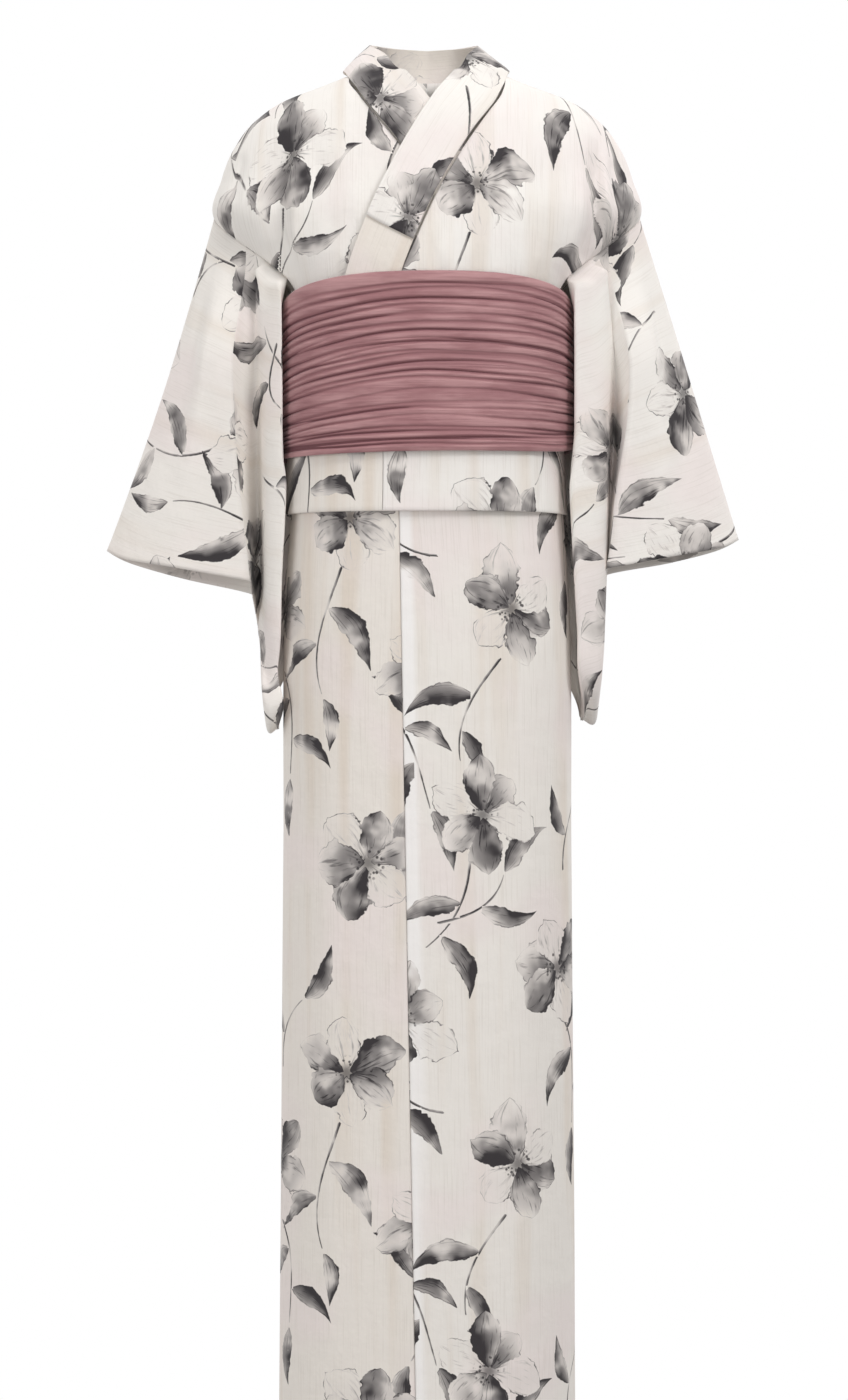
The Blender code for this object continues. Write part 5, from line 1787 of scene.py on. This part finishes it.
@dataclass(frozen=True)
class PrintedCotton:
    """Thin slubbed cotton with an ink-wash print of flowers, leaves and stems."""

    name: str = "printed_cotton"
    cream: Colour = (240, 236, 231)
    beige: Colour = (224, 212, 199)
    blush: Colour = (236, 224, 221)
    pale: Colour = (248, 245, 243)
    charcoal: Colour = (58, 54, 56)
    grey: Colour = (142, 137, 135)
    wash: Colour = (212, 205, 200)
    slub: Colour = (196, 186, 174)
    roughness: float = 0.86
    sheen: float = 0.12
    thread: float = 0.0006  # metres between threads

    def build(self) -> bpy.types.Material:
        """Makes the material.

        Returns:
            The material.
        """
        graph = Graph(self.name)
        place = graph.cloth_uv()
        flat = graph.join(*place)
        streak = graph.streaks(place, 620.0, 16.0)
        band = graph.rise(graph.streaks(place, 26.0, 1.6, 2.0), 0.50, 0.72, 0.55)
        # Each piece's tone, which is painted shade on the collar band, and the weave's bands make the
        # ground beige.
        beige = graph.math("ADD", graph.times(graph.number("ground_and_shade_tone"), 0.75), band, clamp=True)
        ground = graph.mix(beige, linear(self.cream), linear(self.beige))
        for share, colour in (
            (graph.rise(graph.noise(flat, 7.0), 0.46, 0.66, 0.65), self.blush),
            (graph.rise(streak, 0.50, 0.72, 0.20), self.slub),
            (graph.times(graph.number("relief"), 0.75), self.pale),
        ):
            ground = graph.mix(share, ground, linear(colour))
        colour = ground
        inner = graph.math("MULTIPLY_ADD", graph.number("inner_side"), -0.55, 1.0)
        for layer in range(3):
            colour = self.mark(graph, layer, flat, colour, ground, inner)
        colour = self.flower_heart(graph, colour, inner)
        turn = 2 * math.pi / self.thread
        weave = graph.times(*(graph.math("SINE", graph.times(part, turn)) for part in place))
        normal = graph.bump(graph.noise(flat, 38.0, 3.0), 0.0016)  # crumples, slubs, then threads
        normal = graph.bump(streak, 0.00012, normal)
        normal = graph.bump(weave, 0.00002, normal)
        return graph.finished(
            Base_Color=colour, Roughness=self.roughness, Sheen_Weight=self.sheen,
            Sheen_Roughness=0.5, Specular_IOR_Level=0.25, Normal=normal)

    def mark(self, graph: Graph, layer: int, flat: Socket, below: Socket, ground: Socket,
             inner: Socket) -> Socket:
        """Paints one layer of brush marks over a colour.

        Args:
            graph: the material's graph.
            layer: the layer's number.
            flat: the place in cloth metres.
            below: the colour under the layer.
            ground: the bare cloth's colour.
            inner: how strongly the print shows on this face.

        Returns:
            The colour with the layer painted.
        """
        share, aside, width = graph.parts(f"mark_{layer}")
        dark, base, outline = graph.parts(f"ink_{layer}")
        seed, _, _ = graph.parts(f"seed_{layer}")
        moved = {0: flat, 1: graph.join(0.0, 0.0, seed)}
        place = graph.add("ShaderNodeVectorMath", moved, operation="ADD")[0]
        # The edge wavers, and its distance from the outline grows towards the middle.
        ruffle = graph.math("SUBTRACT", graph.noise(place, 95.0, 2.0), 0.5)
        edge = graph.math("MULTIPLY_ADD", graph.times(width, 0.85), ruffle, width)
        edge = graph.math("SUBTRACT", edge, graph.math("ABSOLUTE", aside))
        side = graph.math("DIVIDE", aside, graph.math("MAXIMUM", width, 0.0004))
        # The wash darkens towards its base and to one side, and pools in clouds.
        pull = graph.times(graph.math("SUBTRACT", 0.5, share), base)
        level = graph.math("MULTIPLY_ADD", pull, 1.5, 0.62)
        level = graph.math("MULTIPLY_ADD", graph.times(side, 0.30), dark, level)
        clouds = graph.rise(graph.noise(place, 30.0, 2.0), 0.18, 0.66, 1.35)
        level = graph.times(level, dark, clouds)
        gaps = graph.rise(graph.noise(place, 60.0, 1.0), 0.38, 0.62)
        rim = graph.times(graph.fall(edge, 0.0006, 0.0022), outline, gaps)
        vein = graph.noise(graph.join(graph.times(share, 2.2), graph.times(side, 5.0), seed), 1.3, 3.0)
        vein = graph.rise(vein, 0.54, 0.74, 0.34)
        ink = graph.math("ADD", graph.math("ADD", level, rim), vein, clamp=True)
        ink = graph.times(ink, inner)
        painted = ground
        for low, high, colour in ((0.0, 0.30, self.wash), (0.22, 0.62, self.grey),
                                  (0.55, 1.0, self.charcoal)):
            painted = graph.mix(graph.rise(ink, low, high), painted, linear(colour))
        return graph.mix(graph.rise(edge, -0.0001, 0.0008), below, painted)

    def flower_heart(self, graph: Graph, below: Socket, inner: Socket) -> Socket:
        """Paints each flower's dark throat, threads and dots.

        Args:
            graph: the material's graph.
            below: the colour under them.
            inner: how strongly the print shows on this face.

        Returns:
            The colour with the heart painted.
        """
        x, y, seed = graph.parts("bloom")
        away = graph.math("SQRT", graph.math("ADD", graph.times(x, x), graph.times(y, y)))
        feeds = {"Vector": graph.join(x, y, seed), "Scale": 13.0}
        cells = graph.add("ShaderNodeTexVoronoi", feeds)["Distance"]
        ring = graph.times(graph.rise(away, 0.05, 0.10), graph.fall(away, 0.22, 0.33))
        dots = graph.times(graph.fall(cells, 0.24, 0.44), ring, 0.9)
        throat = graph.times(graph.fall(away, 0.03, 0.24), 0.75)
        turn = graph.math("MULTIPLY_ADD", graph.math("ARCTAN2", y, x), 9.0, seed)
        threads = graph.times(graph.rise(graph.math("COSINE", turn), 0.80, 1.0, 0.55),
                              graph.fall(away, 0.16, 0.42))
        dark = graph.math("MAXIMUM", dots, graph.math("MAXIMUM", threads, throat))
        return graph.mix(graph.times(dark, inner), below, linear(self.charcoal))


@dataclass(frozen=True)
class CrinkledSash:
    """Soft crinkled cloth in dusty rose, with painted highlights on its crinkles' ridges and painted
    shade in their valleys.
    """

    name: str = "crinkled_sash"
    # ridge is a painted highlight and valley is painted shade, both laid on by the crinkles' height;
    # middle is the rose itself.
    ridge: Colour = (182, 138, 139)
    middle: Colour = (154, 108, 111)
    valley: Colour = (108, 66, 71)
    streak: Colour = (126, 82, 86)
    roughness: float = 0.62
    sheen: float = 0.35

    def build(self) -> bpy.types.Material:
        """Makes the material.

        Returns:
            The material.
        """
        graph = Graph(self.name)
        place = graph.cloth_uv()
        relief = graph.number("relief")
        streak = graph.streaks(place, 18.0, 420.0)
        patch = graph.streaks(place, 16.0, 60.0)
        # Painted shade in the crinkles' valleys, then painted highlights on their ridges, both by the
        # relief.
        colour = graph.mix(graph.rise(relief, 0.02, 0.30), linear(self.valley), linear(self.middle))
        light = graph.times(graph.rise(relief, 0.38, 0.95), graph.rise(patch, 0.30, 0.66))
        colour = graph.mix(light, colour, linear(self.ridge))
        colour = graph.mix(graph.rise(streak, 0.50, 0.74, 0.35), colour, linear(self.streak))
        normal = graph.bump(streak, 0.0007, graph.bump(patch, 0.0012))
        normal = graph.bump(graph.streaks(place, 900.0, 120.0, 2.0), 0.00008, normal)
        return graph.finished(
            Base_Color=colour, Roughness=self.roughness, Sheen_Weight=self.sheen,
            Sheen_Roughness=0.4, Specular_IOR_Level=0.3, Normal=normal)


@dataclass(frozen=True)
class SewingThread:
    """Matt twisted cotton thread in the cloth's own cream."""

    name: str = "sewing_thread"
    light: Colour = (236, 229, 224)
    shade: Colour = (198, 188, 182)
    roughness: float = 0.7
    twist: float = 2600.0  # turns of the noise a metre

    def build(self) -> bpy.types.Material:
        """Makes the material.

        Returns:
            The material.
        """
        graph = Graph(self.name)
        place = graph.add("ShaderNodeTexCoord")["Object"]
        fibre = graph.noise(place, self.twist, 2.0)
        wear = graph.noise(place, self.twist / 60, 1.0)
        colour = graph.mix(graph.rise(fibre, 0.35, 0.65), linear(self.shade), linear(self.light))
        colour = graph.mix(graph.rise(wear, 0.5, 0.8, 0.3), colour, linear(self.shade))
        return graph.finished(
            Base_Color=colour, Roughness=self.roughness, Sheen_Weight=0.25,
            Specular_IOR_Level=0.3, Normal=graph.bump(fibre, 0.00005))


# ---------------------------------------------------------------- sewing

STITCH_STEP = 0.008  # between the points that carry a seam line onto its cloth
STITCH_SEED = 29


class Facing(Enum):
    """The side of the robe from which a line of stitches is laid on its cloth."""

    FRONT = -1.0
    BACK = 1.0


@dataclass(frozen=True)
class SeamLine:
    """A line of hand stitches on one piece, by its corners in x and z."""

    node: str
    facing: Facing
    corners: tuple[tuple[float, float], ...]
    pitch: float = 0.012
    length: float = 0.0020


SEWN_HEM_Z = -1.423
SEAM_LINES = (
    SeamLine("skirt_front_left", Facing.FRONT, ((0.012, SEWN_HEM_Z), (0.150, SEWN_HEM_Z))),
    SeamLine("okumi_left_skirt", Facing.FRONT, ((-0.030, SEWN_HEM_Z), (-0.136, SEWN_HEM_Z))),
    SeamLine("okumi_left_skirt", Facing.FRONT, ((-0.147, -0.46), (-0.147, -1.418))),
    SeamLine("skirt_back_left", Facing.BACK, ((0.006, SEWN_HEM_Z), (0.150, SEWN_HEM_Z))),
    SeamLine("skirt_back_right", Facing.BACK, ((-0.006, SEWN_HEM_Z), (-0.150, SEWN_HEM_Z))),
    SeamLine("sleeve_right", Facing.FRONT, ((-0.333, -0.481), (-0.204, -0.508)), 0.009),
    SeamLine("sleeve_right", Facing.BACK, ((-0.333, -0.481), (-0.204, -0.512)), 0.009),
    SeamLine("sleeve_left", Facing.FRONT, ((0.324, -0.469), (0.208, -0.494)), 0.009),
    SeamLine("sleeve_left", Facing.BACK, ((0.324, -0.469), (0.208, -0.498)), 0.009),
    SeamLine("over_collar", Facing.FRONT, ((-0.017, -0.1455), (-0.064, -0.1195)), 0.004),
)


@dataclass
class StitchTree:
    """A node tree that lays one stitch after another along each line of a mesh."""

    name: str = "running_stitches"
    ends: int = 6  # sides of the thread
    inputs: tuple[tuple[str, float], ...] = (
        ("Pitch", 0.012), ("Length", 0.002), ("Thread radius", 0.00016), ("Unevenness", 0.10),
    )

    def build(self) -> bpy.types.GeometryNodeTree:
        """Makes the tree, with its sizes, seed and thread as inputs.

        Returns:
            The tree.
        """
        tree = bpy.data.node_groups.new(self.name, "GeometryNodeTree")
        nodes, faces = Nodes(tree), tree.interface
        faces.new_socket("Lines", in_out="INPUT", socket_type="NodeSocketGeometry")
        for name, value in self.inputs:
            made = faces.new_socket(name, in_out="INPUT", socket_type="NodeSocketFloat")
            made.default_value = value
        faces.new_socket("Seed", in_out="INPUT", socket_type="NodeSocketInt")
        faces.new_socket("Thread", in_out="INPUT", socket_type="NodeSocketMaterial")
        faces.new_socket("Stitches", in_out="OUTPUT", socket_type="NodeSocketGeometry")
        given = nodes.add("NodeGroupInput")
        # Points along each line, each turned along it.
        curve = nodes.add("GeometryNodeMeshToCurve", {"Mesh": given["Lines"]})[0]
        feeds = {"Curve": curve, "Length": given["Pitch"]}
        dots = nodes.add("GeometryNodeResampleCurve", feeds, mode="LENGTH")[0]
        feeds = {"Vector": nodes.add("GeometryNodeInputTangent")[0]}
        turn = nodes.add("FunctionNodeAlignRotationToVector", feeds, axis="Z")[0]
        # Each stitch is a little longer or shorter than the next.
        feeds = {2: -1.0, 3: 1.0, "Seed": given["Seed"]}
        uneven = nodes.add("FunctionNodeRandomValue", feeds, data_type="FLOAT")[1]
        stretch = nodes.math("MULTIPLY_ADD", uneven, given["Unevenness"], 1.0)
        # One stitch: a ball of the thread's radius, drawn out to its length.
        radius = given["Thread radius"]
        feeds = {"Segments": self.ends, "Rings": self.ends, "Radius": radius}
        ball = nodes.add("GeometryNodeMeshUVSphere", feeds)[0]
        half = nodes.times(nodes.math("DIVIDE", given["Length"], radius), 0.5)
        feeds = {"Geometry": ball, "Scale": nodes.join(1.0, 1.0, half)}
        stitch = nodes.add("GeometryNodeTransform", feeds)[0]
        feeds = {"Points": dots, "Instance": stitch, "Rotation": turn,
                 "Scale": nodes.join(1.0, 1.0, stretch)}
        laid = nodes.add("GeometryNodeInstanceOnPoints", feeds)[0]
        real = nodes.add("GeometryNodeRealizeInstances", {"Geometry": laid})[0]
        feeds = {"Geometry": real, "Material": given["Thread"]}
        nodes.add("NodeGroupOutput", {0: nodes.add("GeometryNodeSetMaterial", feeds)[0]})
        return tree


@dataclass
class Sewing:
    """The hand stitches that show along the hems, cuffs and collar."""

    thread: bpy.types.Material
    tree: bpy.types.GeometryNodeTree

    def line(self, cloth: Piece, seam: SeamLine) -> Array:
        """Carries a seam line onto its cloth.

        Args:
            cloth: the piece that is sewn.
            seam: the line.

        Returns:
            Points a little under the cloth's outer face, along the line.
        """
        corners = np.array(seam.corners)
        run = np.append(0.0, np.cumsum(np.linalg.norm(np.diff(corners, axis=0), axis=1)))
        steps = np.linspace(0.0, run[-1], max(int(run[-1] / STITCH_STEP), 2))
        points = []
        for x, z in zip(np.interp(steps, run, corners[:, 0]), np.interp(steps, run, corners[:, 1])):
            start = Vector((x, seam.facing.value, z))
            hit, place, _, _ = cloth.ray_cast(start, Vector((0.0, -seam.facing.value, 0.0)))
            if hit:
                points.append(tuple(place))
        return np.array(points)

    def sew(self, cloth: Piece, seams: list[SeamLine]) -> Piece:
        """Lays a piece's stitches.

        Args:
            cloth: the piece that is sewn.
            seams: its lines, which share a pitch and a length.

        Returns:
            The stitches, as one plain mesh.
        """
        lines = [self.line(cloth, seam) for seam in seams]
        edges, offset = [], 0
        for points in lines:
            edges += [(i, i + 1) for i in range(offset, offset + len(points) - 1)]
            offset += len(points)
        mesh = bpy.data.meshes.new("seam_lines")
        mesh.from_pydata([tuple(p) for points in lines for p in points], edges, [])
        guide = placed("seam_lines", mesh)
        layer = guide.modifiers.new("stitches", "NODES")
        layer.node_group = self.tree
        values = {"Pitch": seams[0].pitch, "Length": seams[0].length,
                  "Seed": STITCH_SEED, "Thread": self.thread}
        for item in self.tree.interface.items_tree:
            if item.name in values and item.in_out == "INPUT":
                layer[item.identifier] = values[item.name]
        shown = guide.evaluated_get(bpy.context.evaluated_depsgraph_get())
        plain = bpy.data.meshes.new_from_object(shown)
        guide.modifiers.remove(layer)
        bpy.data.objects.remove(guide)
        plain.polygons.foreach_set("use_smooth", [True] * len(plain.polygons))
        return placed(cloth.name.replace("cloth", "stitches"), plain)


# ---------------------------------------------------------------- studio


@dataclass
class Studio:
    """The floor, the soft light and the camera."""

    distance: float = 3.6
    centre_x: float = -0.0032
    centre_z: float = -0.6452
    frame_height: float = 1.5054
    floor_z: float = -1.47
    floor_radius: float = 7.0
    flat_share: float = 0.8  # of the floor's radius, from which it curves up
    curve_height: float = 1.4
    dome_height: float = 9.0
    surround: float = 0.50
    # name, place, size and power of each softbox
    softboxes: tuple[tuple[str, tuple[float, float, float], float, float], ...] = (
        ("key_softbox", (2.4, -2.6, 2.2), 1.5, 78.0),
        ("fill_softbox", (-3.0, -3.0, -0.3), 2.4, 46.0),
        ("top_softbox", (0.0, -1.0, 2.8), 2.0, 27.0),
        ("rear_softbox_left", (-2.6, 2.6, 1.4), 2.0, 36.0),
        ("rear_softbox_right", (2.6, 2.6, 1.4), 2.0, 36.0),
    )
    aim: tuple[float, float, float] = (0.0, 0.0, -0.6)

    def build(self) -> None:
        """Makes the white surround with its floor, the lights and the camera."""
        self.backdrop()
        self.lights()
        self.camera()

    def backdrop(self) -> None:
        """Makes one white sheet: a round floor that curves up all round into a dome."""
        radius, flat, curve = self.floor_radius, self.flat_share, self.curve_height
        rise = np.linspace(0.0, math.pi / 2, 24)[1:]
        profile = [(radius * share, 0.0) for share in (0.0, 0.3, 0.6, flat)]
        profile += [(radius * (flat + (1 - flat) * math.sin(a)), curve * (1 - math.cos(a)))
                    for a in rise]
        profile += [(radius * math.cos(a), curve + self.dome_height * math.sin(a)) for a in rise]
        turns = np.linspace(0.0, 2 * math.pi, 65)
        points = [(r * math.cos(t), r * math.sin(t), self.floor_z + z)
                  for r, z in profile for t in turns]
        wide = len(turns)
        faces = [(i * wide + j, (i + 1) * wide + j, (i + 1) * wide + j + 1, i * wide + j + 1)
                 for i in range(len(profile) - 1) for j in range(wide - 1)]
        mesh = bpy.data.meshes.new("studio_floor")
        mesh.from_pydata(points, [], faces)
        mesh.shade_smooth()
        floor = placed("studio_floor", mesh)
        # It glows an even white and lights nothing, so that the softboxes alone shape the folds.
        floor.visible_diffuse = floor.visible_glossy = floor.visible_shadow = False
        mesh.materials.append(Graph("pale_paper").finished(
            Base_Color=(0.0, 0.0, 0.0, 1.0), Specular_IOR_Level=0.0,
            Emission_Color=(1.0, 1.0, 1.0, 1.0), Emission_Strength=1.0))

    def lights(self) -> None:
        """Makes the soft lights: a broad key, a fill, a top and two behind, and the surround."""
        for name, place, size, power in self.softboxes:
            data = bpy.data.lights.new(name, "AREA")
            data.shape, data.size, data.energy = "SQUARE", size, power
            lamp = placed(name, data)
            lamp.location = place
            look = Vector(self.aim) - Vector(place)
            lamp.rotation_euler = look.to_track_quat("-Z", "Y").to_euler()
            lamp.visible_camera = False
        world = bpy.data.worlds.new("soft_surround")
        world.use_nodes = True
        surround = world.node_tree.nodes["Background"]
        surround.inputs["Color"].default_value = (1.0, 1.0, 1.0, 1.0)
        surround.inputs["Strength"].default_value = self.surround
        bpy.context.scene.world = world

    def camera(self) -> None:
        """Makes the camera, level with the middle of the view."""
        data = bpy.data.cameras.new("camera")
        data.sensor_width = 36.0
        data.lens = data.sensor_width * self.distance / self.frame_height
        camera = placed("camera", data)
        camera.location = (self.centre_x, -self.distance, self.centre_z)
        camera.rotation_euler = (math.pi / 2, 0.0, 0.0)
        bpy.context.scene.camera = camera
        bpy.context.scene.view_settings.view_transform = "Standard"


# ---------------------------------------------------------------- the whole

# How beige each piece's ground is, from 0 to 1; the collar band's deep beige is painted shade on that
# lower layer.
GROUND_AND_SHADE_TONES = {
    "body_right": 0.15, "body_left": 0.05, "okumi_left_upper": 0.5, "skirt_front_right": 0.4,
    "skirt_front_left": 0.30, "okumi_left_skirt": 0.55, "okumi_right_skirt": 0.3,
    # The collar band's 0.75 is painted shade: it is the lower layer, under the over-collar.
    "skirt_back_right": 0.3, "skirt_back_left": 0.2, "collar": 0.75, "over_collar": 0.12,
    "sleeve_right": 0.25, "sleeve_left": 0.12,
}


class Held(Enum):
    """What holds a piece of cloth in its shape."""

    DRAPED = "draped"
    HUNG = "hung"
    FOLDED = "folded"
    GATHERED = "gathered"


@dataclass(frozen=True)
class Cut:
    """A piece as it was cut flat, and how it is held."""

    flat: tuple[float, float]
    held: Held
    rests_on: tuple[str, ...]
    area: float | None = None


# width and length of the cloth that shows, all round on a tube
CUTS = {
    "body_right": Cut((0.30, 0.97), Held.DRAPED, (), 0.240),
    "body_left": Cut((0.30, 0.97), Held.DRAPED, ("body_right_cloth",), 0.240),
    "okumi_left_upper": Cut((0.14, 0.175), Held.DRAPED, ("body_right_cloth",)),
    "skirt_back_right": Cut((0.215, 1.09), Held.HUNG, ("obi_cloth",)),
    "skirt_back_left": Cut((0.215, 1.09), Held.HUNG, ("obi_cloth",)),
    "skirt_front_right": Cut((0.238, 1.09), Held.HUNG, ("obi_cloth",)),
    "okumi_right_skirt": Cut((0.118, 1.09), Held.HUNG, ("obi_cloth",)),
    "okumi_left_skirt": Cut((0.172, 1.09), Held.HUNG, ("obi_cloth", "skirt_front_right_cloth")),
    "skirt_front_left": Cut((0.240, 1.09), Held.HUNG, ("obi_cloth", "okumi_right_skirt_cloth")),
    "collar": Cut((0.052, 0.95), Held.FOLDED, ("body_right_cloth", "body_left_cloth")),
    "over_collar": Cut((0.052, 0.64), Held.FOLDED, ("collar_cloth",)),
    "sleeve_right": Cut((0.34, 0.65), Held.HUNG, ("body_right_cloth",)),
    "sleeve_left": Cut((0.33, 0.65), Held.HUNG, ("body_left_cloth",)),
    "obi": Cut((0.215, 0.96), Held.GATHERED, ("body_right_cloth", "body_left_cloth")),
}


def main() -> None:
    """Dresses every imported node."""
    logging.basicConfig(level=logging.INFO, format="%(message)s")
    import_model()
    form = BodyForm()
    right = BodyPanel(form, "body_right_cloth", Side.RIGHT, False, RIGHT_FOLDS, PANEL_BACK_FOLDS)
    left = BodyPanel(form, "body_left_cloth", Side.LEFT, True, LEFT_FOLDS, PANEL_BACK_FOLDS)
    skirt, collar = Skirt(form), Collar(form)
    skirt.build()
    collar.build()
    pieces = {
        "body_right": right.build(),
        "body_left": left.build(),
        "okumi_left_upper": UpperOverlap(left).build(),
        **skirt.pieces,
        **collar.pieces,
        "sleeve_right": Sleeve(form, "sleeve_right_cloth", SLEEVE_RIGHT, SLEEVE_FOLDS,
                               (0.1, 0.2)).build(),
        "sleeve_left": Sleeve(form, "sleeve_left_cloth", SLEEVE_LEFT, SLEEVE_FOLDS,
                              (0.235, 0.43)).build(),
        "obi": Obi(form).build(),
    }
    cotton, rose, bolt = PrintedCotton().build(), CrinkledSash().build(), Bolt()
    sewing = Sewing(SewingThread().build(), StitchTree().build())
    for node, tone in GROUND_AND_SHADE_TONES.items():
        bolt.dye(pieces[node], tone)
    for node, piece in pieces.items():
        finish, slot = (rose, "crinkled_sash") if node == "obi" else (cotton, "printed_cotton")
        piece.data.materials.append(finish)
        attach(piece, "root")
        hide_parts(node)
        area = sum(p.area for p in piece.data.polygons) / 2
        LOG.info("%s: %d faces, %.4f square metres", piece.name, len(piece.data.polygons), area)
        seams = [seam for seam in SEAM_LINES if seam.node == node]
        sewn = [sewing.sew(piece, seams)] if seams else []
        for stitches in sewn:
            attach(stitches, "root")
            LOG.info("%s: %d faces", stitches.name, len(stitches.data.polygons))
        cut = CUTS[node]
        list(cut.rests_on)
    Studio().build()


if __name__ == "__main__":
    main()
